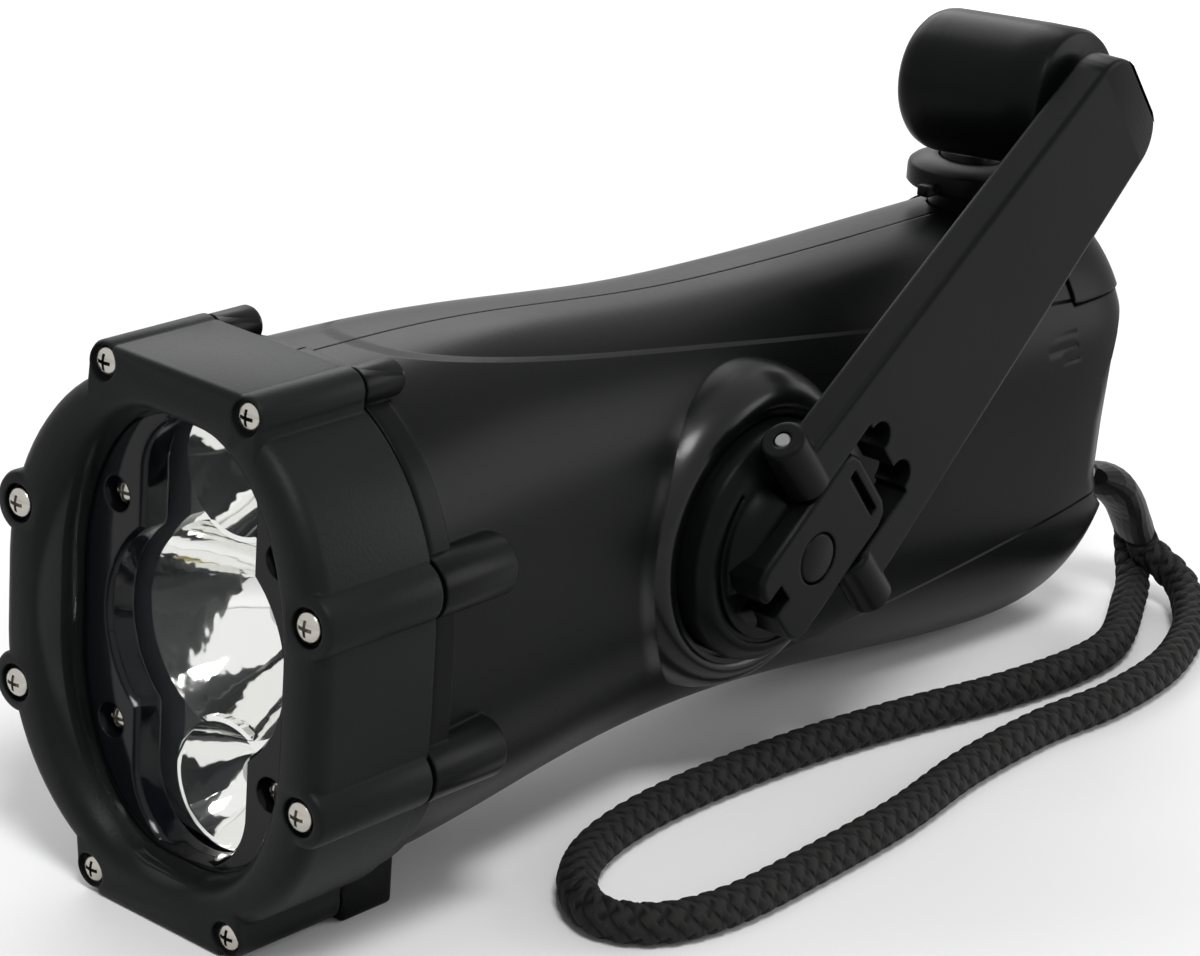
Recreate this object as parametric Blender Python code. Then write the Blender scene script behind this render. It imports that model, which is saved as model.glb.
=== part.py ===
"""Hand crank flashlight, lying on its head pad and its tail, with the crank arm raised.

Every size is in metres. Places are counted from the middle of the bezel screws: X runs from the
head to the tail, Y from the crank side (near) to the other side (far), Z up. A root empty then
sets the light down with its box centred over the origin and its feet on Z = 0.
"""
import math

import bmesh
import bpy
from mathutils import Matrix, Vector

# Whole light
STAND_RISE = 0.0028             # the surface that the light stands on, below the bezel's rim
TOP_PAD_RISE = 0.0020           # the top pad, above the bezel's rim
BEZEL_FRONT = 0.0026            # front face, forward of the screw plane
BEZEL_BACK = 0.0180             # seam between bezel and body
TAIL_END = 0.1880
SEAT_GAP = 0.0003               # between pieces that touch
SLIDE_GAP = 0.0004              # around pieces that turn or slide
OVERRUN = 0.0020                # how far a cutting shape runs past a face
ROUND_STEPS = 24
SMALL_STEPS = 12
TINY_STEPS = 8
FLAT_ANGLE = 0.05               # degrees; faces nearer than this to one plane are one face

# Body casing, cut in two halves along the middle
BODY_HALF_WIDTH = 0.0292
BODY_HALF_HEIGHT = 0.0368
WALL = 0.0024
TAIL_WALL = 0.0100
FRONT_WALL_SIDE = 0.0076        # thickness of the front rim that takes the bezel screws: at the sides
FRONT_WALL_TOP = 0.0050         # and above and below
FRONT_BORE_DEPTH = 0.0160
BORE_BLEND = 0.0050
SQUARENESS = 2.45               # exponent of the rounded sections
SECTION_STEPS = 12
FACET_SLACK = 0.0003            # how far the faceted skin can lie inside the smooth one
# share of the body's length, of its half width, of its half height (top), of the stand height
BODY_SHARES = (
    (0.000, 1.000, 1.000, 0.920), (0.026, 1.000, 1.000, 0.920), (0.031, 0.945, 0.980, 0.908),
    (0.069, 0.925, 0.980, 0.908), (0.157, 0.867, 0.973, 0.885), (0.246, 0.818, 0.940, 0.840),
    (0.340, 0.781, 0.891, 0.810), (0.434, 0.764, 0.848, 0.805), (0.540, 0.760, 0.829, 0.833),
    (0.658, 0.774, 0.821, 0.895), (0.776, 0.795, 0.823, 0.960), (0.864, 0.812, 0.821, 0.995),
    (0.906, 0.818, 0.822, 1.000), (0.947, 0.815, 0.820, 0.983), (0.976, 0.790, 0.800, 0.930),
    (0.994, 0.742, 0.760, 0.850), (1.000, 0.698, 0.720, 0.805),
)
FOOT_LENGTH = 0.0097            # pad under the body, behind the bezel's own
FOOT_DEPTH = 0.0120
HOLLOW_DEPTH = 0.0068           # thumb hollow across the back of the tail
HOLLOW_TOP = 0.0174
HOLLOW_BOTTOM = -0.0205
# share of the way down the hollow, of its depth
HOLLOW_SHARES = ((0.00, 0.00), (0.05, 0.24), (0.14, 0.60), (0.25, 0.82), (0.50, 0.95), (0.74, 1.00),
                 (0.86, 0.80), (0.94, 0.42), (1.00, 0.00))
TAIL_ROUND = 0.0105             # how far the tail's rounded end falls back at its sides
# share of the half width, of how far the end falls back there
TAIL_ROUND_SHARES = ((0.00, 0.00), (0.66, 0.00), (0.74, 0.08), (0.78, 0.20), (0.81, 0.45), (0.84, 1.00))
GRIP_RIB_LENGTH = 0.0150
GRIP_RIB_WIDTH = 0.0009
GRIP_RIB_PITCH = 0.0021
GRIP_RIB_DEPTH = 0.0008
GRIP_RIB_AHEAD = 0.0240         # their middle, ahead of the tail's end
GRIP_RIB_Z = 0.0140
GRIP_RIB_COUNT = 3

# Bezel and its screws
RIM_OVERHANG = 0.0008           # the bezel's rim past the casing at its sides
RIM_SETBACK = 0.0002            # and short of it above and below
RIM_CHAMFER = 0.0014
PAD_HALF_WIDTH = 0.0121
FRONT_BOW = 0.0022              # how far the front face falls back at the pads
PAD_THICKNESS = 0.0080
PAD_BEVEL = 0.0008
DISH_WALL_SIDE = 0.0066         # from the rim in to the front opening, where the dish starts
DISH_WALL_TOP = 0.0036
DISH_DEPTH = 0.0044
DISH_AHEAD_SHARE = 1.06         # of the front opening, where the cutting shape runs ahead of it
DISH_FLOOR_SHARE = 0.76         # and at the lip
LIP_THICKNESS = 0.0021
LIP_MARGIN = 0.0024             # the dish ends in a lip that follows the reflectors: round the middle one
LIP_LOBE_MARGIN = 0.0018        # and round the small ones
LIP_INSET = 0.0020              # the lip's ends, inside the chamber's
CHAMBER_WALL_SIDE = 0.0065      # from the rim in to the chamber behind the lip
CHAMBER_WALL_TOP = 0.0036
SCREW_SIDE_INSET = 0.0030       # middle screws: from the rim's side, and height
SCREW_SIDE_HEIGHT = 0.0129
SCREW_TOP_SIDE = 0.0131         # top and bottom screws
SCREW_TOP_INSET = 0.0006        # from the rim's top
BOSS_RADIUS = 0.0044
PAD_BOSS_RADIUS = 0.0026
SIDE_BOSS_END = 0.0320
PAD_BOSS_END = 0.0255
SCREW_HEAD_RADIUS = 0.0022
SCREW_HEAD_HEIGHT = 0.0016
SCREW_SHANK_RADIUS = 0.0012
SCREW_LENGTH = 0.0255
SCREW_SIDE_SHARE = 0.55         # of the head's height, up its straight side
SCREW_CROWN_SHARE = 0.72        # of the head's radius, at its top
COUNTERBORE_RADIUS = 0.0027
COUNTERBORE_DEPTH = 0.0016
NOTCH_RADIUS = 0.0034           # round a pad's screws the corner is cut away
NOTCH_FLOOR = 0.0012            # behind the screw plane

# Seal, lens frame, lens and reflector, from front to back
SEAL_THICKNESS = 0.0026
SEAL_WIDTH = 0.0018
FRAME_THICKNESS = 0.0016
LENS_THICKNESS = 0.0015
LENS_INSET = 0.0030             # how far the lens stays inside the chamber's outline
WINDOW_MARGIN = 0.0008          # the frame's window, round the middle reflector
WINDOW_LOBE_MARGIN = 0.0010     # and round the small ones
CUP_MARGIN = 0.0085             # from the middle reflector's rim to the chamber's side
SMALL_CUP_SHARE = 0.6           # of the middle reflector's radius
SMALL_CUP_MARGIN = 0.0016       # from a small reflector's rim to the chamber's end
CUP_DEPTH = 0.0140
SMALL_CUP_DEPTH = 0.0090
CUP_WALL = 0.0012
FLANGE_THICKNESS = 0.0015
SKIRT_WALL = 0.0018
CUP_STEPS = 4
LED_RADIUS = 0.0030
SMALL_LED_RADIUS = 0.0025
LED_CLEARANCE = 0.0004
LED_DOME_STEPS = 4
LED_REACH_SHARE = 0.20          # of its bowl's depth, from the board to its dome
SMALL_LED_SINK_SHARE = 0.75     # of its bowl's depth, from the bowl's mouth down to its dome
BOARD_THICKNESS = 0.0016
INNER_SCREW_INSET = 0.0083      # from the chamber's side
INNER_SCREW_DROP = 0.0062       # from the height of a small reflector's centre
INNER_SCREW_LENGTH = 0.0075
INNER_POST_RADIUS = 0.0026
INNER_POST_LENGTH = 0.0050

# Batteries
CELL_RADIUS = 0.0070
CELL_LENGTH = 0.0480
CELL_NUB_RADIUS = 0.0025
CELL_NUB_LENGTH = 0.0012
CELL_PITCH = 0.0154
CELL_ROW_Y = 0.0033             # middle of the pack, and height of its lower pair
CELL_ROW_Z = -0.0080
HOLDER_WALL = 0.0013
HOLDER_FLOOR = 0.0015
CONTACT_THICKNESS = 0.0010

# Crank on the near side
HUB_Z = 0.0005
ARM_ANGLE = 39.5                # degrees above the tail at rest
RING_RADIUS = 0.0206
RING_FOOT_RADIUS = 0.0226
RING_WIDTH_SHARE = 0.75         # of the casing's half width, about where its flank is at the hub
RING_RISE = 0.0024              # the raised ring's face above that
RING_HEIGHT = 0.0073            # from the ring's face to its foot inside the wall
POCKET_RADIUS = 0.0182
POCKET_DEPTH = 0.0018           # from the ring's face
DISC_RADIUS = 0.0176
DISC_RISE = 0.0040              # the disc's face above the ring's
DISC_CHAMFER = 0.0020
ARC_GROOVE_RADIUS = 0.0134
ARC_GROOVE_WIDTH = 0.0007
ARC_GROOVE_DEPTH = 0.0006
SHAFT_RADIUS = 0.0037
BUSH_WALL = 0.0017
BUSH_FLANGE = 0.0024
BUSH_FLANGE_THICKNESS = 0.0015
PLATE_THICKNESS = 0.0060
PLATE_HALF_WIDTH = 0.0080
PLATE_TAIL = 0.0110             # hub plate, back from the hub and forward along the arm
PLATE_NOSE = 0.0146
PLATE_CORNER = 0.0030
PLATE_SLOT_LENGTH = 0.0094
PLATE_SLOT_WIDTH = 0.0016
PLATE_SLOT_DEPTH = 0.0020
PLATE_SLOT_INSET_SHARE = 1.6    # of the slot's width, from the plate's nose to the slot's middle
PLATE_NOTCH = 0.0036
PIN_OFFSET = 0.0062             # hinge pin, from the hub along the arm
PIN_RADIUS = 0.0012
KNUCKLE_RADIUS = 0.0033
KNUCKLE_END = 0.0193
ARM_THICKNESS = 0.0056
ARM_BASE_HALF_WIDTH = 0.0153
ARM_TIP_HALF_WIDTH = 0.0103
ARM_TIP = 0.0904
ARM_TIP_ROUND = 0.0062
ARM_BEVEL = 0.0006
WINDOW_HALF_WIDTH = 0.0083
WINDOW_END = 0.0186
WINDOW_LOBE_RADIUS = 0.0026
WINDOW_LOBE_SIDE = 0.0046
KNOB_ALONG = 0.0834
KNOB_ACROSS = 0.0029
KNOB_DROOP = 5.0                # degrees that the knob's axis dips towards its free end
KNOB_RADIUS = 0.0109
KNOB_LENGTH = 0.0264
KNOB_STAND_OFF = 0.0013
# share of the knob's length and of its radius, from the arm to the free end
KNOB_SHARES = ((0.00, 0.93), (0.04, 0.98), (0.45, 0.99), (0.78, 1.00), (0.88, 0.975), (0.95, 0.90),
               (1.00, 0.68))
SPINDLE_RADIUS = 0.0022
SPINDLE_DEPTH = 0.0032          # into the arm
SPINDLE_LENGTH = 0.0230

# Gear train and dynamo
MODULE = 0.0008
PRESSURE_ANGLE = 25.0
ADDENDUM_SHARE = 0.80           # of the module
DEDENDUM_SHARE = 1.10
TOOTH_PLAY = 0.00006            # taken off each flank
FLANK_STEPS = 1
CRANK_TEETH = 40
MIDDLE_PINION_TEETH = 12
MIDDLE_TEETH = 36
ROTOR_TEETH = 10
ROTOR_DIRECTION = -30.0         # degrees, from the middle gear to the dynamo
GEAR_THICKNESS = 0.0032
GEAR_WIDTH_SHARE = 0.65         # of the casing's half width, about where its flank is at the gear's rim
GEAR_SETBACK = 0.00588          # far face of the crank gear, inside that
GEAR_HUB_RADIUS = 0.0054
WHEEL_THICKNESS = 0.0024
AXLE_RADIUS = 0.0015
CARRIER_THICKNESS = 0.0024
CARRIER_GAP = 0.0006
CARRIER_HALF_HEIGHT = 0.0220
CARRIER_AHEAD = 0.0112          # past the hub towards the head
CARRIER_BEHIND = 0.0130         # past the dynamo towards the tail
CARRIER_CORNER = 0.0036
CARRIER_POST_RADIUS = 0.0026
CARRIER_POST_INSET = 0.0030
MAGNET_RADIUS = 0.0075
MAGNET_LENGTH = 0.0100
STATOR_WALL = 0.0034
STATOR_BACK = 0.0016

# Casing screws, put in from the far side
CASE_SCREW_FRONT_X = 0.0400
CASE_SCREW_REAR_AHEAD = 0.0380  # ahead of the tail's end
CASE_SCREW_TOP_INSET = 0.0128   # from the casing's half height, and from the standing surface
CASE_SCREW_LOW_INSET = 0.0134
CASE_POST_RADIUS = 0.0034
CASE_SCREW_BITE = 0.0090        # how far a screw reaches into the near half
CASE_HEAD_DEPTH = 0.0030

# Selector dial, push button and control board
DIAL_AHEAD = 0.0190             # the dial's axis, ahead of the tail's end
DIAL_RADIUS = 0.0100
DIAL_HEIGHT_SHARE = 0.80        # of the casing's half height, about where its top is at the dial
DIAL_RISE = 0.00396             # underside of the dial, above that
DIAL_EDGE = 0.0030
DIAL_CROWN = 0.0016
DIAL_NECK_RADIUS = 0.0062
DIAL_FLANGE_RADIUS = 0.0078
DIAL_FLANGE_THICKNESS = 0.0012
POINTER_LENGTH = 0.0026
POINTER_WIDTH = 0.0022
POINTER_HEIGHT = 0.0018
BUTTON_RADIUS = 0.0050
BUTTON_RISE = 0.0012
BUTTON_CAP = 0.0034
STEM_RADIUS = 0.0018
STEM_REACH = 0.0035             # into the switch
BUTTON_TRAVEL = 0.0015
BUTTON_RIB_COUNT = 3
BUTTON_RIB_WIDTH = 0.0007
BUTTON_RIB_PITCH = 0.0021
BUTTON_RIB_DEPTH = 0.0006
SWITCH_LENGTH = 0.0120
SWITCH_WIDTH = 0.0120
SWITCH_GAP = 0.0010             # under the dial's flange
BOARD_Z = 0.0080
CONTROL_BOARD_LENGTH = 0.0300
CONTROL_BOARD_AHEAD = 0.0120    # its rear edge, ahead of the tail's end
TAIL_COVER_LENGTH = 0.0157
TAIL_COVER_Z = 0.0180

# Wrist strap
PIN_POCKET_Y = -0.0155
PIN_POCKET_Z = -0.0120
PIN_POCKET_WIDTH = 0.0080
PIN_POCKET_HEIGHT = 0.0120
STRAP_PIN_RADIUS = 0.0012
STRAP_PIN_AHEAD = 0.0070        # ahead of the tail's end
THREAD_RADIUS = 0.0008
THREAD_LOOP_RADIUS = 0.0026
CORD_RADIUS = 0.0029
SLEEVE_HALF_WIDTH = 0.0031
SLEEVE_HALF_DEPTH = 0.0060
SLEEVE_GAP = 0.0006             # between the sleeve's ends and what goes into them
SLEEVE_NOSE_SHARES = (0.45, 0.85)       # of its width, at its first two sections
STRAND_SPREAD_SHARE = 1.04      # of the cord's radius, from the sleeve's middle to a strand's
THREAD_MOUTH_SHARE = 0.42       # of the thread loop's radius: at the sleeve, and on its way to the pin
THREAD_WAY_SHARE = 0.9
THREAD_PLACE_SHARE = 0.4        # of the way from the pin to the sleeve
SLEEVE_ROUTE = (
    (0.1895, -0.0165, -0.0158), (0.1942, -0.0167, -0.0182), (0.1985, -0.0170, -0.0220),
    (0.2016, -0.0174, -0.0268),
)
SLEEVE_SPREAD = (-0.70, -0.62, 0.35)    # direction in which its two strands lie side by side
# the cord from the sleeve, along the ground and back to the sleeve
CORD_ROUTE = (
    (0.2040, -0.0164, -0.0328), (0.1995, -0.0202, -0.0359), (0.1930, -0.0238, -0.0364),
    (0.1770, -0.0318, -0.0364), (0.1635, -0.0336, -0.0364), (0.1455, -0.0318, -0.0364),
    (0.1256, -0.0277, -0.0364), (0.1056, -0.0247, -0.0364), (0.0846, -0.0234, -0.0364),
    (0.0676, -0.0242, -0.0364), (0.0546, -0.0274, -0.0364), (0.0456, -0.0334, -0.0364),
    (0.0420, -0.0408, -0.0364), (0.0466, -0.0474, -0.0364), (0.0576, -0.0504, -0.0364),
    (0.0746, -0.0502, -0.0364), (0.0976, -0.0486, -0.0364), (0.1186, -0.0452, -0.0364),
    (0.1396, -0.0440, -0.0364), (0.1566, -0.0450, -0.0364), (0.1742, -0.0432, -0.0364),
    (0.1890, -0.0380, -0.0363), (0.1975, -0.0326, -0.0360), (0.2024, -0.0272, -0.0343),
)
CORD_POINTS = 52
THREAD_POINTS = 18

# Worked out from the sizes above
ALONG_X = Matrix(((0, 0, 1, 0), (1, 0, 0, 0), (0, 1, 0, 0), (0, 0, 0, 1)))     # outlines in Y, Z
TO_NEAR = Matrix(((1, 0, 0, 0), (0, 0, -1, 0), (0, 1, 0, 0), (0, 0, 0, 1)))    # outlines in X, Z
RIM_HALF_WIDTH = BODY_HALF_WIDTH + RIM_OVERHANG
RIM_HALF_HEIGHT = BODY_HALF_HEIGHT - RIM_SETBACK
STAND_HEIGHT = RIM_HALF_HEIGHT + STAND_RISE         # from the head's centre down to the surface
TOP_PAD_HEIGHT = RIM_HALF_HEIGHT + TOP_PAD_RISE
SCREW_SIDE = RIM_HALF_WIDTH - SCREW_SIDE_INSET
SCREW_TOP_HEIGHT = RIM_HALF_HEIGHT - SCREW_TOP_INSET
DISH_HALF_WIDTH = RIM_HALF_WIDTH - DISH_WALL_SIDE
DISH_HALF_HEIGHT = RIM_HALF_HEIGHT - DISH_WALL_TOP
CHAMBER_HALF_WIDTH = RIM_HALF_WIDTH - CHAMBER_WALL_SIDE
CHAMBER_HALF_HEIGHT = RIM_HALF_HEIGHT - CHAMBER_WALL_TOP
FRONT_BORE_HALF_WIDTH = BODY_HALF_WIDTH - FRONT_WALL_SIDE
FRONT_BORE_HALF_HEIGHT = BODY_HALF_HEIGHT - FRONT_WALL_TOP
CASE_SCREW_TOP_Z = BODY_HALF_HEIGHT - CASE_SCREW_TOP_INSET
CASE_SCREW_LOW_Z = CASE_SCREW_LOW_INSET - STAND_HEIGHT
LIP_FRONT = DISH_DEPTH - BEZEL_FRONT
CHAMBER_FRONT = LIP_FRONT + LIP_THICKNESS
SEAL_X = CHAMBER_FRONT + SEAT_GAP
FRAME_X = SEAL_X + SEAL_THICKNESS + SEAT_GAP
LENS_X = FRAME_X + FRAME_THICKNESS + SEAT_GAP
FLANGE_X = LENS_X + LENS_THICKNESS + SEAT_GAP
LED_BOARD_X = FLANGE_X + CUP_DEPTH + SEAT_GAP
HOLDER_X = LED_BOARD_X + BOARD_THICKNESS + SEAT_GAP
HOLDER_LENGTH = HOLDER_FLOOR + CELL_LENGTH + CELL_NUB_LENGTH + 3 * SEAT_GAP
CONTACT_X = HOLDER_X + HOLDER_LENGTH + SEAT_GAP
HUB_X = CONTACT_X + CONTACT_THICKNESS + SLIDE_GAP + CARRIER_AHEAD
DIAL_X = TAIL_END - DIAL_AHEAD
CONTROL_BOARD_REAR = TAIL_END - CONTROL_BOARD_AHEAD
CONTROL_BOARD_FRONT = CONTROL_BOARD_REAR - CONTROL_BOARD_LENGTH
TAIL_COVER_X = TAIL_END - TAIL_COVER_LENGTH
STRAP_PIN_X = TAIL_END - STRAP_PIN_AHEAD
GRIP_RIB_X = TAIL_END - GRIP_RIB_AHEAD
CASE_SCREW_REAR_X = TAIL_END - CASE_SCREW_REAR_AHEAD
BODY_FRONT = BEZEL_BACK + SEAT_GAP
BODY_LENGTH = TAIL_END - BODY_FRONT
RING_FACE = BODY_HALF_WIDTH * RING_WIDTH_SHARE + RING_RISE
RING_FOOT = RING_FACE - RING_HEIGHT
POCKET_FLOOR = RING_FACE - POCKET_DEPTH
DISC_FACE = RING_FACE + DISC_RISE
GEAR_Y = GEAR_SETBACK - BODY_HALF_WIDTH * GEAR_WIDTH_SHARE
ARM_BACK = DISC_FACE + SLIDE_GAP + KNUCKLE_RADIUS - ARM_THICKNESS / 2
PIN_Y = -(ARM_BACK + ARM_THICKNESS / 2)
PLATE_BACK = DISC_FACE + SEAT_GAP
NEAR_EDGE = -PIN_Y + KNUCKLE_RADIUS
FAR_EDGE = SCREW_SIDE + BOSS_RADIUS
FRONT_EDGE = BEZEL_FRONT - COUNTERBORE_DEPTH + SEAT_GAP + SCREW_HEAD_HEIGHT
HUB = Vector((HUB_X, 0, HUB_Z))
ARM_FRAME = Matrix.Translation(HUB) @ Matrix.Rotation(math.radians(-ARM_ANGLE), 4, 'Y') @ TO_NEAR
CUP_RADIUS = CHAMBER_HALF_WIDTH - CUP_MARGIN
SMALL_CUP_RADIUS = CUP_RADIUS * SMALL_CUP_SHARE
SMALL_CUP_HEIGHT = CHAMBER_HALF_HEIGHT - SMALL_CUP_RADIUS - SMALL_CUP_MARGIN
INNER_SCREW_SIDE = CHAMBER_HALF_WIDTH - INNER_SCREW_INSET
INNER_SCREW_HEIGHT = SMALL_CUP_HEIGHT - INNER_SCREW_DROP
BEZEL_SCREWS = [(side * y, level * z) for y, z in ((SCREW_TOP_SIDE, SCREW_TOP_HEIGHT),
                                                   (SCREW_SIDE, SCREW_SIDE_HEIGHT))
                for side in (-1, 1) for level in (-1, 1)]
INNER_SCREWS = [(side * INNER_SCREW_SIDE, level * INNER_SCREW_HEIGHT)
                for side in (-1, 1) for level in (-1, 1)]
CASE_SCREWS = [(x, z) for x in (CASE_SCREW_FRONT_X, CASE_SCREW_REAR_X)
               for z in (CASE_SCREW_TOP_Z, CASE_SCREW_LOW_Z)]
CELL_TOP_Z = CELL_ROW_Z + CELL_PITCH * math.sin(math.radians(60))
CELLS = ((CELL_ROW_Y - CELL_PITCH / 2, CELL_ROW_Z), (CELL_ROW_Y + CELL_PITCH / 2, CELL_ROW_Z),
         (CELL_ROW_Y, CELL_TOP_Z))
MIDDLE = HUB + Vector((MODULE * (CRANK_TEETH + MIDDLE_PINION_TEETH) / 2, 0, 0))
ROTOR = MIDDLE + Matrix.Rotation(math.radians(-ROTOR_DIRECTION), 3, 'Y') @ Vector(
    (MODULE * (MIDDLE_TEETH + ROTOR_TEETH) / 2, 0, 0))
WHEEL_Y = GEAR_Y + SLIDE_GAP + WHEEL_THICKNESS
CARRIER_Y = WHEEL_Y + CARRIER_GAP + CARRIER_THICKNESS
STATOR_Y = CARRIER_Y + SEAT_GAP
DIAL_BASE = BODY_HALF_HEIGHT * DIAL_HEIGHT_SHARE + DIAL_RISE


def body_size(x):
    """Half width, top height and bottom depth of the casing at a place along it."""
    share = min(max((x - BODY_FRONT) / BODY_LENGTH, 0), 1)
    for low, high in zip(BODY_SHARES, BODY_SHARES[1:]):
        if share <= high[0]:
            part = (share - low[0]) / (high[0] - low[0])
            wide, top, bottom = (a + (b - a) * part for a, b in zip(low[1:], high[1:]))
            break
    return wide * BODY_HALF_WIDTH, top * BODY_HALF_HEIGHT, bottom * STAND_HEIGHT


def casing_y(x, z, inset):
    """Distance of the casing's skin from the mid plane at x and z, that far inside it."""
    wide, top, bottom = (size - inset for size in body_size(x))
    rise = abs(z) / (top if z > 0 else bottom)
    return wide * (1 - rise ** SQUARENESS) ** (1 / SQUARENESS) - FACET_SLACK


def casing_z(x, y, inset):
    """Height of the casing's upper skin above the head's centre at x and y, that far inside it."""
    wide, top, bottom = (size - inset for size in body_size(x))
    return top * (1 - (abs(y) / wide) ** SQUARENESS) ** (1 / SQUARENESS) - FACET_SLACK


def dial_low():
    """Underside of the flange that holds the dial in the casing."""
    corner = casing_z(DIAL_X + DIAL_FLANGE_RADIUS, DIAL_FLANGE_RADIUS, WALL)
    return corner - SLIDE_GAP - DIAL_FLANGE_THICKNESS


def switch_top():
    return dial_low() - SWITCH_GAP


def mesh_object(name, points, faces):
    """A new object from points and faces, in flat triangles that face outwards."""
    shape = bmesh.new()
    corners = [shape.verts.new(point) for point in points]
    for face in faces:
        shape.faces.new([corners[k] for k in face])
    bmesh.ops.recalc_face_normals(shape, faces=shape.faces)
    bmesh.ops.triangulate(shape, faces=shape.faces)
    mesh = bpy.data.meshes.new(name)
    shape.to_mesh(mesh)
    shape.free()
    thing = bpy.data.objects.new(name, mesh)
    bpy.context.scene.collection.objects.link(thing)
    return thing


def loft(name, loops, closed=False):
    """A solid through loops of points: capped at both ends, or closed into a ring."""
    count = len(loops[0])
    points = [point for loop in loops for point in loop]
    faces = []
    for ring in range(len(loops) if closed else len(loops) - 1):
        here, there = ring * count, (ring + 1) % len(loops) * count
        for k in range(count):
            after = (k + 1) % count
            faces.append((here + k, here + after, there + after, there + k))
    if not closed:
        faces.append(tuple(range(count)))
        faces.append(tuple(range(len(points) - count, len(points))))
    return mesh_object(name, points, faces)


def prism(name, outline, frame, low, high):
    """An outline drawn in a frame's first two directions, run along its third."""
    return loft(name, [[frame @ Vector((a, b, level)) for a, b in outline] for level in (low, high)])


def turned(name, profile, frame, steps=ROUND_STEPS, closed=False):
    """A profile of (radius, height) points turned about a frame's third direction."""
    angles = [2 * math.pi * k / steps for k in range(steps)]
    loops = [[frame @ Vector((radius * math.cos(a), radius * math.sin(a), height)) for a in angles]
             for radius, height in profile]
    return loft(name, loops, closed)


def rod(name, radius, frame, low, high, steps=SMALL_STEPS):
    """A plain round bar along a frame's third direction."""
    return turned(name, [(radius, low), (radius, high)], frame, steps)


def block(name, corner, opposite):
    """A box between two opposite corners."""
    (x0, y0, z0), (x1, y1, z1) = corner, opposite
    return prism(name, [(y0, z0), (y1, z0), (y1, z1), (y0, z1)], ALONG_X, x0, x1)


def rounded(half_width, half_height, steps=2 * SECTION_STEPS):
    """The body's rounded section as an outline."""
    outline = []
    for k in range(steps):
        angle = 2 * math.pi * k / steps
        c, s = math.cos(angle), math.sin(angle)
        outline.append((half_width * math.copysign(abs(c) ** (2 / SQUARENESS), c),
                        half_height * math.copysign(abs(s) ** (2 / SQUARENESS), s)))
    return outline


def lobed(middle_radius, lobe_half_width, half_height, steps=7):
    """The outline round the three reflectors: one wide arc each side, a narrow lobe above and below."""
    turn = math.acos(lobe_half_width / middle_radius)
    side = [(middle_radius * math.cos(turn * (2 * k / steps - 1)),
             middle_radius * math.sin(turn * (2 * k / steps - 1))) for k in range(steps + 1)]
    lobe_z = half_height - lobe_half_width
    lobe = [(lobe_half_width * math.cos(math.pi * k / steps),
             lobe_z + lobe_half_width * math.sin(math.pi * k / steps)) for k in range(steps + 1)]
    half = side + lobe
    return half + [(-a, -b) for a, b in half]


def at(x=0, y=0, z=0):
    """A frame moved to a place."""
    return Matrix.Translation((x, y, z))


def settle(thing):
    """Replace an object's mesh with what its modifiers make of it."""
    bpy.context.view_layer.update()
    shaped = thing.evaluated_get(bpy.context.evaluated_depsgraph_get())
    mesh, old = bpy.data.meshes.new_from_object(shaped), thing.data
    shape = bmesh.new()
    shape.from_mesh(mesh)
    bmesh.ops.dissolve_limit(shape, angle_limit=math.radians(FLAT_ANGLE), verts=shape.verts,
                             edges=shape.edges)
    bmesh.ops.triangulate(shape, faces=shape.faces)
    shape.to_mesh(mesh)
    shape.free()
    thing.modifiers.clear()
    thing.data = mesh
    bpy.data.meshes.remove(old)


def combine(thing, tool, operation):
    """Join a second shape to an object, or cut it away, and use the second shape up."""
    step = thing.modifiers.new(operation.title(), 'BOOLEAN')
    step.operation, step.solver, step.object = operation, 'EXACT', tool
    settle(thing)
    bpy.data.objects.remove(tool)


def add(thing, *tools):
    for tool in tools:
        combine(thing, tool, 'UNION')


def cut(thing, *tools):
    for tool in tools:
        combine(thing, tool, 'DIFFERENCE')


def soften(thing, width, segments=1):
    """Break an object's sharp edges."""
    step = thing.modifiers.new('Bevel', 'BEVEL')
    step.width, step.segments, step.limit_method = width, segments, 'ANGLE'
    step.angle_limit = math.radians(50)
    settle(thing)


MATERIALS = {
    'satin_black': ((0.018, 0.020, 0.020, 1), 0.38, 0.0),
    'matte_black': ((0.022, 0.024, 0.025, 1), 0.62, 0.0),
    'gloss_black': ((0.010, 0.011, 0.014, 1), 0.15, 0.0),
    'rubber': ((0.030, 0.030, 0.030, 1), 0.80, 0.0),
    'chrome': ((0.90, 0.90, 0.88, 1), 0.06, 1.0),
    'nickel': ((0.72, 0.70, 0.66, 1), 0.25, 1.0),
    'steel': ((0.50, 0.50, 0.50, 1), 0.35, 1.0),
    'clear': ((0.90, 0.93, 0.95, 1), 0.05, 0.0),
    'led': ((0.95, 0.94, 0.85, 1), 0.20, 0.0),
    'board': ((0.02, 0.18, 0.07, 1), 0.50, 0.0),
    'nylon_white': ((0.80, 0.80, 0.76, 1), 0.45, 0.0),
    'copper': ((0.70, 0.32, 0.16, 1), 0.35, 1.0),
    'cell_wrap': ((0.08, 0.25, 0.14, 1), 0.40, 0.0),
    'braid': ((0.015, 0.015, 0.015, 1), 0.85, 0.0),
}
PIVOTS = {}


def material(name):
    """The named material, made the first time that it is asked for."""
    if name in bpy.data.materials:
        return bpy.data.materials[name]
    colour, roughness, metallic = MATERIALS[name]
    made = bpy.data.materials.new(name)
    made.use_nodes = True
    made.diffuse_color = colour
    shader = made.node_tree.nodes['Principled BSDF']
    shader.inputs['Base Color'].default_value = colour
    shader.inputs['Roughness'].default_value = roughness
    shader.inputs['Metallic'].default_value = metallic
    return made


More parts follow.
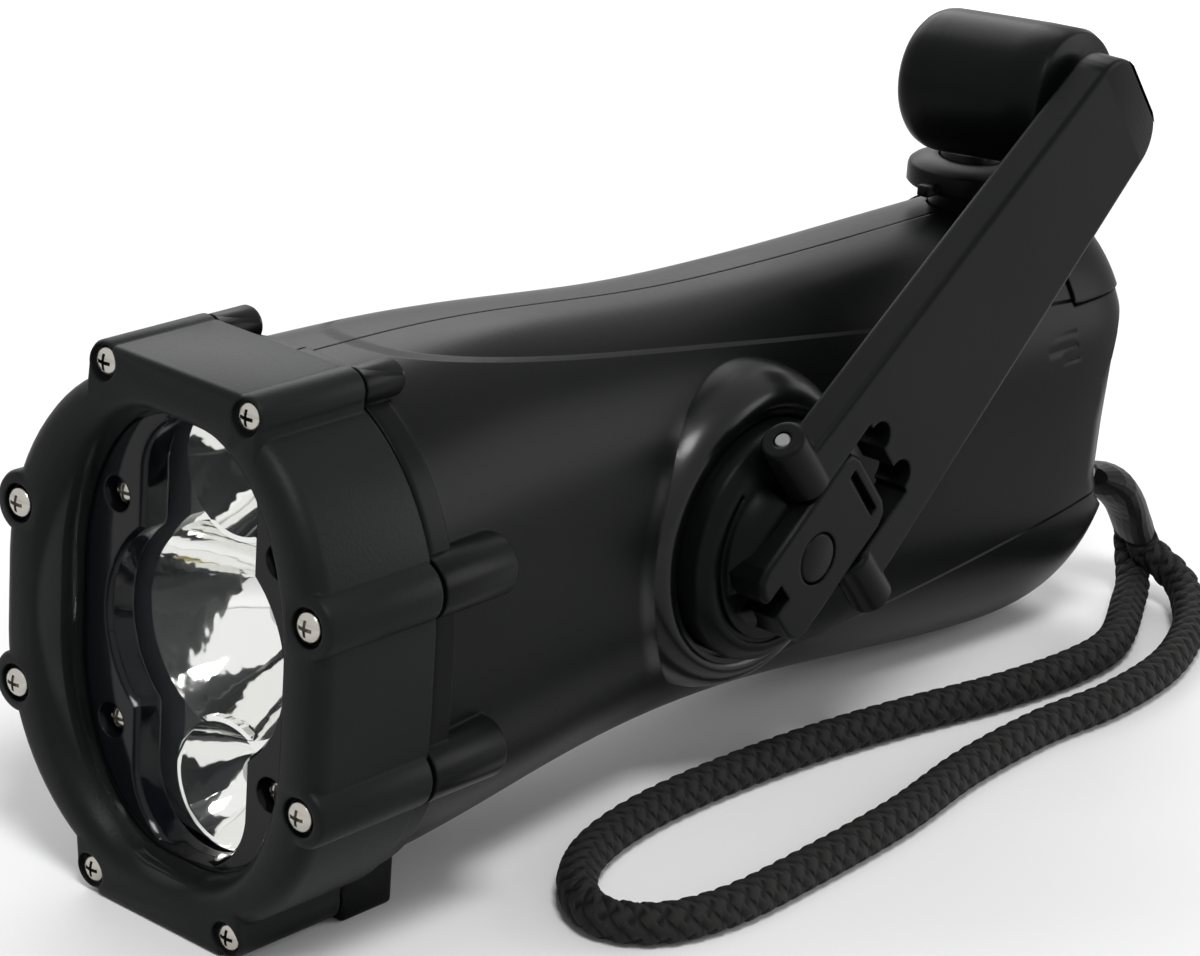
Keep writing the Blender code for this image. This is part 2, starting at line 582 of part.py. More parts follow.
def pivot(name, place, parent=None):
    """An empty on a joint's axis."""
    empty = bpy.data.objects.new(name, None)
    bpy.context.scene.collection.objects.link(empty)
    empty.parent = parent
    empty.location = Vector(place) - PIVOTS.get(parent, Vector())
    PIVOTS[empty] = Vector(place)
    return empty


def finish(thing, name, material_name, parent, origin=None):
    """Name a piece, give it its material and hang it on its carrier, with its origin where asked."""
    thing.name = thing.data.name = name
    place = PIVOTS[parent] if origin is None else Vector(origin)
    if thing.type == 'MESH':
        thing.data.transform(Matrix.Translation(-place))
        thing.data.shade_smooth()
        thing.data.set_sharp_from_angle(angle=math.radians(32))
    thing.data.materials.clear()
    thing.data.materials.append(material(material_name))
    thing.parent = parent
    thing.location = place - PIVOTS[parent]
    return thing


def screw(name, frame, length, head_radius=SCREW_HEAD_RADIUS):
    """A pan head screw: the underside of its head at the frame's origin, its shank along +3."""
    return turned(name, [(SCREW_SHANK_RADIUS, length), (SCREW_SHANK_RADIUS, 0), (head_radius, 0),
                         (head_radius, -SCREW_HEAD_HEIGHT * SCREW_SIDE_SHARE),
                         (head_radius * SCREW_CROWN_SHARE, -SCREW_HEAD_HEIGHT)], frame, TINY_STEPS)


def gear_outline(teeth, phase):
    """Involute teeth, one of them centred on the phase angle in radians."""
    pitch = MODULE * teeth / 2
    base = pitch * math.cos(math.radians(PRESSURE_ANGLE))
    tip = pitch + MODULE * ADDENDUM_SHARE
    root = pitch - MODULE * DEDENDUM_SHARE
    involute = math.tan(math.radians(PRESSURE_ANGLE)) - math.radians(PRESSURE_ANGLE)
    half_tooth = math.pi / (2 * teeth) - TOOTH_PLAY / pitch
    start = max(base, root)
    flank = [(root, half_tooth + involute)] if root < start else []
    for k in range(FLANK_STEPS + 1):
        radius = start + (tip - start) * k / FLANK_STEPS
        slope = math.acos(base / radius)
        flank.append((radius, half_tooth + involute - (math.tan(slope) - slope)))
    outline = []
    for tooth in range(teeth):
        centre = phase + 2 * math.pi * tooth / teeth
        for radius, angle in flank:
            outline.append((radius * math.cos(centre - angle), radius * math.sin(centre - angle)))
        for radius, angle in reversed(flank):
            outline.append((radius * math.cos(centre + angle), radius * math.sin(centre + angle)))
    return outline


def casing_half(name, side):
    """Half of the outer form, to one side of the mid plane: -1 near, +1 far."""
    loops = []
    for share in BODY_SHARES:
        x = BODY_FRONT + share[0] * BODY_LENGTH
        wide, top, bottom = body_size(x)
        loop = []
        for k in range(SECTION_STEPS + 1):
            angle = math.pi * (0.5 - k / SECTION_STEPS)
            c, s = max(math.cos(angle), 0), math.sin(angle)
            y = max(wide * c ** (2 / SQUARENESS), SEAT_GAP / 2)
            z = (top if s > 0 else bottom) * math.copysign(abs(s) ** (2 / SQUARENESS), s)
            loop.append((x, side * y, z))
        loops.append(loop)
    return loft(name, loops)


def casing_whole(name):
    """The outer form from side to side."""
    loops = []
    for share in BODY_SHARES:
        x = BODY_FRONT + share[0] * BODY_LENGTH
        wide, top, bottom = body_size(x)
        loops.append([(x, a, b * (top if b > 0 else bottom)) for a, b in rounded(wide, 1)])
    return loft(name, loops)


def cavity(name, gap):
    """The inside of the casing, or what fits in it with a gap all round."""
    bore_end = BODY_FRONT + FRONT_BORE_DEPTH
    front = (FRONT_BORE_HALF_WIDTH - gap, FRONT_BORE_HALF_HEIGHT - gap, FRONT_BORE_HALF_HEIGHT - gap)
    rear = TAIL_END - TAIL_WALL - gap
    places = [(BODY_FRONT - OVERRUN, front), (bore_end, front)]
    for share in BODY_SHARES:
        x = BODY_FRONT + share[0] * BODY_LENGTH
        if bore_end + BORE_BLEND < x < rear:
            places.append((x, [size - WALL - gap for size in body_size(x)]))
    places.append((rear, [size - WALL - gap for size in body_size(rear)]))
    loops = []
    for x, (wide, top, bottom) in places:
        loop = [(x, a, b * (top if b > 0 else bottom)) for a, b in rounded(wide, 1)]
        loops.append(loop)
    return loft(name, loops)


def pad_box(name, level, low, high):
    """A flat pad above (+1) or below (-1) the head, with a round boss at each of its screws."""
    height = TOP_PAD_HEIGHT if level > 0 else STAND_HEIGHT
    pad = block(name, (low, -PAD_HALF_WIDTH, level * (height - PAD_THICKNESS)),
                (high, PAD_HALF_WIDTH, level * height))
    soften(pad, PAD_BEVEL)
    wide = SCREW_TOP_SIDE + PAD_BOSS_RADIUS
    add(pad, block('shoulder', (low, -wide, level * (height - PAD_THICKNESS)),
                   (high, wide, level * SCREW_TOP_HEIGHT)))
    for side in (-1, 1):
        add(pad, rod('boss', PAD_BOSS_RADIUS, at(0, side * SCREW_TOP_SIDE, level * SCREW_TOP_HEIGHT)
                     @ ALONG_X, low, high))
    return pad


def bow(thing):
    """Let the front face fall back towards the pads, less and less towards the seam."""
    depth = BEZEL_BACK + BEZEL_FRONT
    for point in thing.data.vertices:
        share = (BEZEL_BACK - point.co.x) / depth
        point.co.x += FRONT_BOW * share * (point.co.z / STAND_HEIGHT) ** 2


def build_casing(side):
    """One half of the body casing, with the bosses for the bezel screws on its side."""
    shell = casing_half('shell', side)
    foot = block('foot', (BODY_FRONT, side * SEAT_GAP / 2, -STAND_HEIGHT + FOOT_DEPTH),
                 (BODY_FRONT + FOOT_LENGTH, side * (SCREW_TOP_SIDE + PAD_BOSS_RADIUS), -STAND_HEIGHT))
    soften(foot, PAD_BEVEL)
    add(shell, foot)
    screws = [place for place in BEZEL_SCREWS if place[0] * side > 0]
    for y, z in screws:
        wide = abs(z) < SCREW_TOP_SIDE
        radius, end = (BOSS_RADIUS, SIDE_BOSS_END) if wide else (PAD_BOSS_RADIUS, PAD_BOSS_END)
        add(shell, rod('boss', radius, at(0, y, z) @ ALONG_X, BODY_FRONT, end))
    if side < 0:
        add(shell, turned('ring', [(RING_FOOT_RADIUS, RING_FOOT),
                                   (RING_FOOT_RADIUS, RING_FACE - DISC_CHAMFER),
                                   (RING_RADIUS, RING_FACE)],
                          Matrix.Translation(HUB) @ TO_NEAR))
    cut(shell, cavity('inside', 0))
    for x, z in CASE_SCREWS:
        low, high = sorted((-side * SEAT_GAP / 2, -side * BODY_HALF_WIDTH))
        post = rod('post', CASE_POST_RADIUS, at(x, 0, z) @ TO_NEAR, low, high)
        combine(post, cavity('half wall', -WALL / 2), 'INTERSECT')
        add(shell, post)
    return shell


def build_near_shell(root):
    shell = build_casing(-1)
    hub = Matrix.Translation(HUB) @ TO_NEAR
    cut(shell, rod('pocket', POCKET_RADIUS, hub, POCKET_FLOOR, RING_FACE + OVERRUN, ROUND_STEPS))
    cut(shell, rod('bore', SHAFT_RADIUS + BUSH_WALL + SLIDE_GAP + SEAT_GAP, hub, 0,
                   RING_FACE, ROUND_STEPS))
    for x, z in CASE_SCREWS:
        cut(shell, rod('hole', SCREW_SHANK_RADIUS + SEAT_GAP, at(x, 0, z) @ TO_NEAR, -OVERRUN,
                       CASE_SCREW_BITE + SLIDE_GAP))
    for k in range(GRIP_RIB_COUNT):
        z = GRIP_RIB_Z - k * GRIP_RIB_PITCH
        skin = casing_y(GRIP_RIB_X, z, GRIP_RIB_DEPTH)
        cut(shell, block('rib', (GRIP_RIB_X - GRIP_RIB_LENGTH / 2, -skin - OVERRUN, z),
                         (GRIP_RIB_X + GRIP_RIB_LENGTH / 2, -skin, z + GRIP_RIB_WIDTH)))
    cut(shell, block('pin pocket',
                     (STRAP_PIN_X - THREAD_LOOP_RADIUS - THREAD_RADIUS - SLIDE_GAP,
                      PIN_POCKET_Y - PIN_POCKET_WIDTH / 2, PIN_POCKET_Z - PIN_POCKET_HEIGHT / 2),
                     (TAIL_END + OVERRUN, PIN_POCKET_Y + PIN_POCKET_WIDTH / 2,
                      PIN_POCKET_Z + PIN_POCKET_HEIGHT / 2)))
    cut(shell, rod('pin hole', STRAP_PIN_RADIUS + SEAT_GAP, at(STRAP_PIN_X, 0, PIN_POCKET_Z) @ TO_NEAR,
                   -PIN_POCKET_Y - PIN_POCKET_WIDTH / 2 - OVERRUN,
                   -PIN_POCKET_Y + PIN_POCKET_WIDTH / 2 + OVERRUN))
    cut_openings(shell, -1)
    return finish(shell, 'body_shell_near', 'satin_black', root)


def build_far_shell(root):
    shell = build_casing(1)
    for x, z in CASE_SCREWS:
        skin = casing_y(x, z, 0)
        frame = at(x, 0, z) @ TO_NEAR
        cut(shell, rod('hole', SCREW_SHANK_RADIUS + SEAT_GAP, frame, -skin - OVERRUN, OVERRUN))
        cut(shell, rod('head hole', COUNTERBORE_RADIUS, frame, -skin - OVERRUN,
                       -skin + CASE_HEAD_DEPTH))
    cut_openings(shell, 1)
    return finish(shell, 'body_shell_far', 'satin_black', root)


def cut_openings(shell, side):
    """What both halves share: screw holes, dial hole, the tail cover's place, the thumb hollow."""
    for y, z in BEZEL_SCREWS:
        if y * side > 0:
            cut(shell, rod('hole', SCREW_SHANK_RADIUS + SEAT_GAP, at(0, y, z) @ ALONG_X,
                           BODY_FRONT - OVERRUN, SCREW_LENGTH + SLIDE_GAP))
    cut(shell, rod('dial hole', DIAL_NECK_RADIUS + SLIDE_GAP, at(DIAL_X), dial_low(), DIAL_BASE,
                   ROUND_STEPS))
    cut(shell, block('cover place', (TAIL_COVER_X - SEAT_GAP, -BODY_HALF_WIDTH, TAIL_COVER_Z - SEAT_GAP),
                     (TAIL_END + OVERRUN, BODY_HALF_WIDTH, BODY_HALF_HEIGHT)))
    cut(shell, thumb_hollow())


def thumb_hollow():
    """What is cut from the back of the tail: its hollow, as round at the corners as the tail is."""
    loops = []
    for down, deep in HOLLOW_SHARES:
        z = HOLLOW_TOP + (HOLLOW_BOTTOM - HOLLOW_TOP) * down
        end = TAIL_END + SEAT_GAP - (HOLLOW_DEPTH + SEAT_GAP) * deep
        half = [(end - TAIL_ROUND * back, BODY_HALF_WIDTH * wide) for wide, back in TAIL_ROUND_SHARES]
        half.append((end - TAIL_ROUND, BODY_HALF_WIDTH))
        half.append((TAIL_END + OVERRUN, BODY_HALF_WIDTH))
        outline = half + [(x, -y) for x, y in reversed(half[1:])]
        loops.append([(x, y, z) for x, y in outline])
    return loft('hollow', loops)


def build_tail_cover(root):
    """The corner block over the back of the tail, following the casing's outer form."""
    cover = casing_whole('cover')
    window = block('window', (TAIL_COVER_X, -BODY_HALF_WIDTH, TAIL_COVER_Z),
                   (TAIL_END + OVERRUN, BODY_HALF_WIDTH, BODY_HALF_HEIGHT))
    combine(cover, window, 'INTERSECT')
    cut(cover, rod('dial hole', DIAL_NECK_RADIUS + SLIDE_GAP, at(DIAL_X), TAIL_COVER_Z - OVERRUN,
                   BODY_HALF_HEIGHT, ROUND_STEPS))
    cut(cover, cavity('inside', -SEAT_GAP))
    return finish(cover, 'tail_cover', 'satin_black', root)


def screw_seat(z):
    """Radius and floor of the recess for a bezel screw's head."""
    if abs(z) < SCREW_TOP_SIDE:
        return COUNTERBORE_RADIUS, COUNTERBORE_DEPTH - BEZEL_FRONT
    return NOTCH_RADIUS, NOTCH_FLOOR


def build_bezel(root):
    """The guard ring round the front: two pads, eight screw bosses and a dished front."""
    front = [(a * (1 - RIM_CHAMFER / RIM_HALF_WIDTH), b * (1 - RIM_CHAMFER / RIM_HALF_HEIGHT))
             for a, b in rounded(RIM_HALF_WIDTH, RIM_HALF_HEIGHT)]
    full = rounded(RIM_HALF_WIDTH, RIM_HALF_HEIGHT)
    places = ((-BEZEL_FRONT, front), (RIM_CHAMFER - BEZEL_FRONT, full), (BEZEL_BACK, full))
    bezel = loft('bezel', [[(x, a, b) for a, b in outline] for x, outline in places])
    for level in (-1, 1):
        add(bezel, pad_box('pad', level, -BEZEL_FRONT, BEZEL_BACK))
    for y, z in BEZEL_SCREWS:
        if abs(z) < SCREW_TOP_SIDE:
            boss = turned('boss', [(BOSS_RADIUS - PAD_BEVEL, -BEZEL_FRONT),
                                   (BOSS_RADIUS, PAD_BEVEL - BEZEL_FRONT), (BOSS_RADIUS, BEZEL_BACK)],
                          at(0, y, z) @ ALONG_X, SMALL_STEPS)
            add(bezel, boss)
    lip = lobed(CUP_RADIUS + LIP_MARGIN, SMALL_CUP_RADIUS + LIP_LOBE_MARGIN,
                CHAMBER_HALF_HEIGHT - LIP_INSET)
    cut(bezel, prism('lip', lip, ALONG_X, -BEZEL_FRONT - OVERRUN, CHAMBER_FRONT + OVERRUN))
    dish = [[(x, a * share, b * share) for a, b in rounded(DISH_HALF_WIDTH, DISH_HALF_HEIGHT)]
            for x, share in ((-BEZEL_FRONT - OVERRUN, DISH_AHEAD_SHARE), (-BEZEL_FRONT, 1),
                         (LIP_FRONT, DISH_FLOOR_SHARE))]
    cut(bezel, loft('dish', dish))
    bow(bezel)
    chamber = rounded(CHAMBER_HALF_WIDTH, CHAMBER_HALF_HEIGHT)
    cut(bezel, prism('chamber', chamber, ALONG_X, CHAMBER_FRONT, BEZEL_BACK + OVERRUN))
    for y, z in BEZEL_SCREWS:
        frame = at(0, y, z) @ ALONG_X
        cut(bezel, rod('hole', SCREW_SHANK_RADIUS + SEAT_GAP, frame, -BEZEL_FRONT - OVERRUN,
                       BEZEL_BACK + OVERRUN))
        radius, floor = screw_seat(z)
        cut(bezel, rod('head hole', radius, frame, -BEZEL_FRONT - OVERRUN, floor))
    return finish(bezel, 'bezel', 'matte_black', root)


def build_bezel_screws(root):
    for number, (y, z) in enumerate(BEZEL_SCREWS, 1):
        seat = screw_seat(z)[1] - SEAT_GAP
        body = screw('screw', at(seat, y, z) @ ALONG_X, SCREW_LENGTH - seat)
        finish(body, f'bezel_screw_{number}', 'nickel', root)


def front_outline(inset):
    """The chamber's outline, that far inside it."""
    return rounded(CHAMBER_HALF_WIDTH - inset, CHAMBER_HALF_HEIGHT - inset)


def build_seal(root):
    seal = prism('seal', front_outline(SEAT_GAP), ALONG_X, SEAL_X, SEAL_X + SEAL_THICKNESS)
    cut(seal, prism('inside', front_outline(SEAT_GAP + SEAL_WIDTH), ALONG_X, SEAL_X - OVERRUN,
                    SEAL_X + SEAL_THICKNESS + OVERRUN))
    return finish(seal, 'front_seal', 'rubber', root)


def build_lens_frame(root):
    """The glossy plate with the window for the three reflectors and four screws."""
    plate = prism('plate', front_outline(SEAT_GAP), ALONG_X, FRAME_X, FRAME_X + FRAME_THICKNESS)
    lobe = SMALL_CUP_RADIUS + WINDOW_LOBE_MARGIN
    window = lobed(CUP_RADIUS + WINDOW_MARGIN, lobe, SMALL_CUP_HEIGHT + lobe - SEAL_WIDTH)
    cut(plate, prism('window', window, ALONG_X, FRAME_X - OVERRUN, FRAME_X + FRAME_THICKNESS + OVERRUN))
    for y, z in INNER_SCREWS:
        cut(plate, rod('hole', SCREW_SHANK_RADIUS + SEAT_GAP, at(0, y, z) @ ALONG_X, 0, LENS_X))
    return finish(plate, 'lens_frame', 'gloss_black', root)


def build_lens(root):
    lens = prism('lens', front_outline(LENS_INSET), ALONG_X, LENS_X, LENS_X + LENS_THICKNESS)
    for y, z in INNER_SCREWS:
        cut(lens, rod('hole', SCREW_SHANK_RADIUS + SEAT_GAP, at(0, y, z) @ ALONG_X, 0, FLANGE_X))
    return finish(lens, 'lens', 'clear', root)


def cup_profile(radius, back_radius, depth, grow, ahead):
    """A reflector's bowl from its back to its mouth, made larger by grow and run ahead of its mouth."""
    profile = []
    for k in range(CUP_STEPS + 1):
        share = k / CUP_STEPS
        opening = math.sqrt(back_radius ** 2 + (radius ** 2 - back_radius ** 2) * share)
        profile.append((opening + grow, FLANGE_X + depth * (1 - share)))
    profile.append((radius + grow, FLANGE_X - ahead))
    return profile


def build_reflector(root):
    """Three bowls in one moulding, with a flange, a skirt that rests on the casing, and screw posts."""
    flange = prism('flange', front_outline(SEAT_GAP), ALONG_X, FLANGE_X, BEZEL_BACK - SEAT_GAP)
    cut(flange, prism('inside', front_outline(SEAT_GAP + SKIRT_WALL), ALONG_X,
                      FLANGE_X + FLANGE_THICKNESS, BEZEL_BACK + OVERRUN))
    bowls = [(0, CUP_RADIUS, LED_RADIUS + LED_CLEARANCE, CUP_DEPTH)]
    bowls += [(level * SMALL_CUP_HEIGHT, SMALL_CUP_RADIUS, SMALL_LED_RADIUS + LED_CLEARANCE,
               SMALL_CUP_DEPTH) for level in (-1, 1)]
    for z, radius, back, depth in bowls:
        add(flange, turned('bowl', cup_profile(radius, back, depth, CUP_WALL, 0)[:-1],
                           at(0, 0, z) @ ALONG_X))
    for y, z in INNER_SCREWS:
        add(flange, rod('post', INNER_POST_RADIUS, at(0, y, z) @ ALONG_X,
                        FLANGE_X + FLANGE_THICKNESS / 2, FLANGE_X + INNER_POST_LENGTH))
    for z, radius, back, depth in bowls:
        inside = cup_profile(radius, back, depth, 0, OVERRUN)
        inside.insert(0, (back, FLANGE_X + depth + OVERRUN))
        cut(flange, turned('inside', inside, at(0, 0, z) @ ALONG_X))
    for y, z in INNER_SCREWS:
        cut(flange, rod('hole', SCREW_SHANK_RADIUS + SEAT_GAP, at(0, y, z) @ ALONG_X, 0,
                        FLANGE_X + INNER_POST_LENGTH - FLANGE_THICKNESS))
    return finish(flange, 'reflector_unit', 'chrome', root)


def build_inner_screws(root):
    seat = FRAME_X - SEAT_GAP
    length = FLANGE_X + INNER_POST_LENGTH - FLANGE_THICKNESS - SEAT_GAP - seat
    for number, (y, z) in enumerate(INNER_SCREWS, 1):
        body = screw('screw', at(seat, y, z) @ ALONG_X, length, SCREW_HEAD_RADIUS - SEAT_GAP)
        finish(body, f'frame_screw_{number}', 'nickel', root)


def build_leds(root):
    """The board behind the reflector and its three light sources."""
    board = prism('board', rounded(FRONT_BORE_HALF_WIDTH - SEAT_GAP, FRONT_BORE_HALF_HEIGHT - SEAT_GAP),
                  ALONG_X, LED_BOARD_X, LED_BOARD_X + BOARD_THICKNESS)
    finish(board, 'led_board', 'nylon_white', root)
    small_reach = CUP_DEPTH - SMALL_CUP_DEPTH * SMALL_LED_SINK_SHARE
    lamps = (('led_middle', 0, LED_RADIUS, CUP_DEPTH * LED_REACH_SHARE),
             ('led_upper', SMALL_CUP_HEIGHT, SMALL_LED_RADIUS, small_reach),
             ('led_lower', -SMALL_CUP_HEIGHT, SMALL_LED_RADIUS, small_reach))
    for name, z, radius, reach in lamps:
        foot = LED_BOARD_X - SEAT_GAP
        profile = [(radius, foot), (radius, foot - reach)]
        for k in range(1, LED_DOME_STEPS):
            angle = math.pi / 2 * k / LED_DOME_STEPS
            profile.append((radius * math.cos(angle), foot - reach - radius * math.sin(angle)))
        finish(turned(name, profile, at(0, 0, z) @ ALONG_X, SMALL_STEPS), name, 'led', root)


def build_batteries(root):
    """Three cells in a box that opens at its rear, with a contact plate over the opening."""
    low, high = CELLS[0], CELLS[1]
    reach = CELL_RADIUS + SEAT_GAP + HOLDER_WALL
    holder = block('holder', (HOLDER_X, low[0] - reach, low[1] - reach),
                   (HOLDER_X + HOLDER_LENGTH, BODY_HALF_WIDTH, CELL_TOP_Z + reach))
    combine(holder, cavity('inside', SEAT_GAP), 'INTERSECT')
    for y, z in CELLS:
        cut(holder, rod('tunnel', CELL_RADIUS + SEAT_GAP, at(0, y, z) @ ALONG_X,
                        HOLDER_X + HOLDER_FLOOR, CONTACT_X + OVERRUN, ROUND_STEPS))
    finish(holder, 'battery_holder', 'matte_black', root)
    start = HOLDER_X + HOLDER_FLOOR + SEAT_GAP
    for number, (y, z) in enumerate(CELLS, 1):
        profile = [(CELL_RADIUS, start), (CELL_RADIUS, start + CELL_LENGTH),
                   (CELL_NUB_RADIUS, start + CELL_LENGTH),
                   (CELL_NUB_RADIUS, start + CELL_LENGTH + CELL_NUB_LENGTH)]
        cell = turned('cell', profile, at(0, y, z) @ ALONG_X, 24)
        finish(cell, f'battery_cell_{number}', 'cell_wrap', root)
    plate = block('plate', (CONTACT_X, low[0] - CELL_RADIUS, low[1] - CELL_RADIUS),
                  (CONTACT_X + CONTACT_THICKNESS, high[0] + CELL_RADIUS, CELL_TOP_Z + CELL_RADIUS))
    combine(plate, cavity('inside', SEAT_GAP), 'INTERSECT')
    finish(plate, 'battery_contact_plate', 'nickel', root)


def build_crank(crank):
    """What turns with the crank: disc, shaft, hub plate and the first gear."""
    hub = Matrix.Translation(HUB) @ TO_NEAR
    bore = SHAFT_RADIUS + SEAT_GAP
    back = POCKET_FLOOR + SLIDE_GAP
    disc = turned('disc', [(bore, back), (DISC_RADIUS, back), (DISC_RADIUS, DISC_FACE - DISC_CHAMFER),
                           (DISC_RADIUS - DISC_CHAMFER, DISC_FACE), (bore, DISC_FACE)],
                  hub, ROUND_STEPS, closed=True)
    arc = [math.radians(95 + 12 * k) - math.radians(ARM_ANGLE) for k in range(16)]
    groove = [(ARC_GROOVE_RADIUS * math.cos(a), ARC_GROOVE_RADIUS * math.sin(a)) for a in arc]
    inner = ARC_GROOVE_RADIUS - ARC_GROOVE_WIDTH
    groove += [(inner * math.cos(a), inner * math.sin(a)) for a in reversed(arc)]
    cut(disc, prism('groove', groove, ARM_FRAME, DISC_FACE - ARC_GROOVE_DEPTH, DISC_FACE + OVERRUN))
    finish(disc, 'crank_disc', 'satin_black', crank)

    plate_front = PLATE_BACK + PLATE_THICKNESS
    outline = [(-PLATE_TAIL + PLATE_CORNER, -PLATE_HALF_WIDTH),
               (PLATE_NOSE - PLATE_CORNER, -PLATE_HALF_WIDTH),
               (PLATE_NOSE, PLATE_CORNER - PLATE_HALF_WIDTH), (PLATE_NOSE, PLATE_HALF_WIDTH - PLATE_CORNER),
               (PLATE_NOSE - PLATE_CORNER, PLATE_HALF_WIDTH), (-PLATE_TAIL + PLATE_CORNER, PLATE_HALF_WIDTH),
               (-PLATE_TAIL, PLATE_HALF_WIDTH - PLATE_CORNER), (-PLATE_TAIL, PLATE_NOTCH),
               (PLATE_NOTCH - PLATE_TAIL, PLATE_NOTCH), (PLATE_NOTCH - PLATE_TAIL, 0), (-PLATE_TAIL, 0),
               (-PLATE_TAIL, PLATE_CORNER - PLATE_HALF_WIDTH)]
    plate = prism('plate', outline, ARM_FRAME, PLATE_BACK, plate_front)
    cut(plate, rod('bore', bore, ARM_FRAME, 0, plate_front + OVERRUN, ROUND_STEPS))
    slot_x = PLATE_NOSE - PLATE_SLOT_WIDTH * PLATE_SLOT_INSET_SHARE
    slot = [(slot_x - PLATE_SLOT_WIDTH / 2, -PLATE_SLOT_LENGTH / 2),
            (slot_x + PLATE_SLOT_WIDTH / 2, -PLATE_SLOT_LENGTH / 2),
            (slot_x + PLATE_SLOT_WIDTH / 2, PLATE_SLOT_LENGTH / 2),
            (slot_x - PLATE_SLOT_WIDTH / 2, PLATE_SLOT_LENGTH / 2)]
    cut(plate, prism('slot', slot, ARM_FRAME, plate_front - PLATE_SLOT_DEPTH, plate_front + OVERRUN))
    cut(plate, rod('pin hole', PIN_RADIUS + SEAT_GAP, pin_frame(), -KNUCKLE_END, KNUCKLE_END))
    finish(plate, 'hub_plate', 'satin_black', crank)

    inner_end = -CARRIER_Y - CARRIER_THICKNESS / 4
    finish(rod('shaft', SHAFT_RADIUS, hub, inner_end, plate_front, ROUND_STEPS), 'crank_shaft',
           'steel', crank)
    gear = prism('gear', gear_outline(CRANK_TEETH, 0), hub, -GEAR_Y, GEAR_THICKNESS - GEAR_Y)
    add(gear, rod('boss', GEAR_HUB_RADIUS, hub, -WHEEL_Y, -GEAR_Y + GEAR_THICKNESS / 2, ROUND_STEPS))
    cut(gear, rod('bore', bore, hub, 0, POCKET_FLOOR, ROUND_STEPS))
    finish(gear, 'crank_gear', 'nylon_white', crank)


def build_bush(root):
    """The flanged bearing that the shaft runs in, set in the near half's bore from inside."""
    hub = Matrix.Translation(HUB) @ TO_NEAR
    inner, outer = SHAFT_RADIUS + SLIDE_GAP, SHAFT_RADIUS + SLIDE_GAP + BUSH_WALL
    reach = outer + BUSH_FLANGE
    flange = min(casing_y(HUB_X + side * reach, HUB_Z - reach, WALL) for side in (-1, 1)) - SEAT_GAP
    bush = turned('bush', [(inner, flange - BUSH_FLANGE_THICKNESS),
                           (reach, flange - BUSH_FLANGE_THICKNESS), (reach, flange), (outer, flange),
                           (outer, POCKET_FLOOR - SEAT_GAP), (inner, POCKET_FLOOR - SEAT_GAP)],
                  hub, ROUND_STEPS, closed=True)
    return finish(bush, 'shaft_bush', 'steel', root)


def pin_frame():
    """The hinge pin's frame: its third direction runs across the arm."""
    across = Matrix(((1, 0, 0, PIN_OFFSET), (0, 0, 1, 0), (0, -1, 0, -PIN_Y), (0, 0, 0, 1)))
    return ARM_FRAME @ across


def build_hinge_pin(crank):
    pin = rod('pin', PIN_RADIUS, pin_frame(), -KNUCKLE_END, KNUCKLE_END)
    finish(pin, 'hinge_pin', 'steel', crank)


def build_arm(arm):
    """The flat arm: two legs with knuckles on the pin, a window between them, a rounded tip."""
    tip_start = ARM_TIP - ARM_TIP_ROUND
    corner_v = ARM_TIP_HALF_WIDTH - ARM_TIP_ROUND
    upper = [(PIN_OFFSET, ARM_BASE_HALF_WIDTH)]
    for k in range(6):
        angle = math.pi / 2 * (1 - k / 5)
        upper.append((tip_start + ARM_TIP_ROUND * math.cos(angle),
                      corner_v + ARM_TIP_ROUND * math.sin(angle)))
    outline = upper + [(u, -v) for u, v in reversed(upper)]
    front = ARM_BACK + ARM_THICKNESS
    plate = prism('arm', outline, ARM_FRAME, ARM_BACK, front)
    soften(plate, ARM_BEVEL)
    window = [(0, -WINDOW_HALF_WIDTH), (WINDOW_END, -WINDOW_HALF_WIDTH),
              (WINDOW_END, WINDOW_HALF_WIDTH), (0, WINDOW_HALF_WIDTH)]
    cut(plate, prism('window', window, ARM_FRAME, ARM_BACK - OVERRUN, front + OVERRUN))
    for side in (-1, 1):
        lobe = ARM_FRAME @ at(WINDOW_END, side * WINDOW_LOBE_SIDE)
        cut(plate, rod('lobe', WINDOW_LOBE_RADIUS, lobe, ARM_BACK - OVERRUN, front + OVERRUN))
        low, high = sorted((side * (WINDOW_HALF_WIDTH + SEAT_GAP), side * KNUCKLE_END))
        add(plate, rod('knuckle', KNUCKLE_RADIUS, pin_frame(), low, high, 24))
    cut(plate, rod('pin hole', PIN_RADIUS + SEAT_GAP, pin_frame(), -KNUCKLE_END - OVERRUN,
                   KNUCKLE_END + OVERRUN))
    cut(plate, rod('spindle hole', SPINDLE_RADIUS + SEAT_GAP, knob_frame(), -SPINDLE_DEPTH - SEAT_GAP,
                   OVERRUN))
    return finish(plate, 'crank_arm', 'satin_black', arm)


def knob_place():
    """Where the knob's axis leaves the arm's back."""
    return ARM_FRAME @ Vector((KNOB_ALONG, KNOB_ACROSS, ARM_BACK))


def knob_frame():
    """The knob's frame: its third direction runs from the arm to the free end."""
    tilt = Matrix.Rotation(math.radians(-90 - KNOB_DROOP), 4, 'X')
    return Matrix.Translation(knob_place()) @ tilt


def build_knob(arm, knob):
    spindle = rod('spindle', SPINDLE_RADIUS, knob_frame(), -SPINDLE_DEPTH, SPINDLE_LENGTH)
    finish(spindle, 'knob_spindle', 'steel', arm)
    bore = SPINDLE_RADIUS + SLIDE_GAP
    profile = [(KNOB_RADIUS * r, KNOB_STAND_OFF + KNOB_LENGTH * h) for h, r in KNOB_SHARES]
    body = turned('knob', profile, knob_frame(), ROUND_STEPS)
    cut(body, rod('bore', bore, knob_frame(), -OVERRUN, SPINDLE_LENGTH + SLIDE_GAP))
    finish(body, 'crank_knob', 'satin_black', knob)


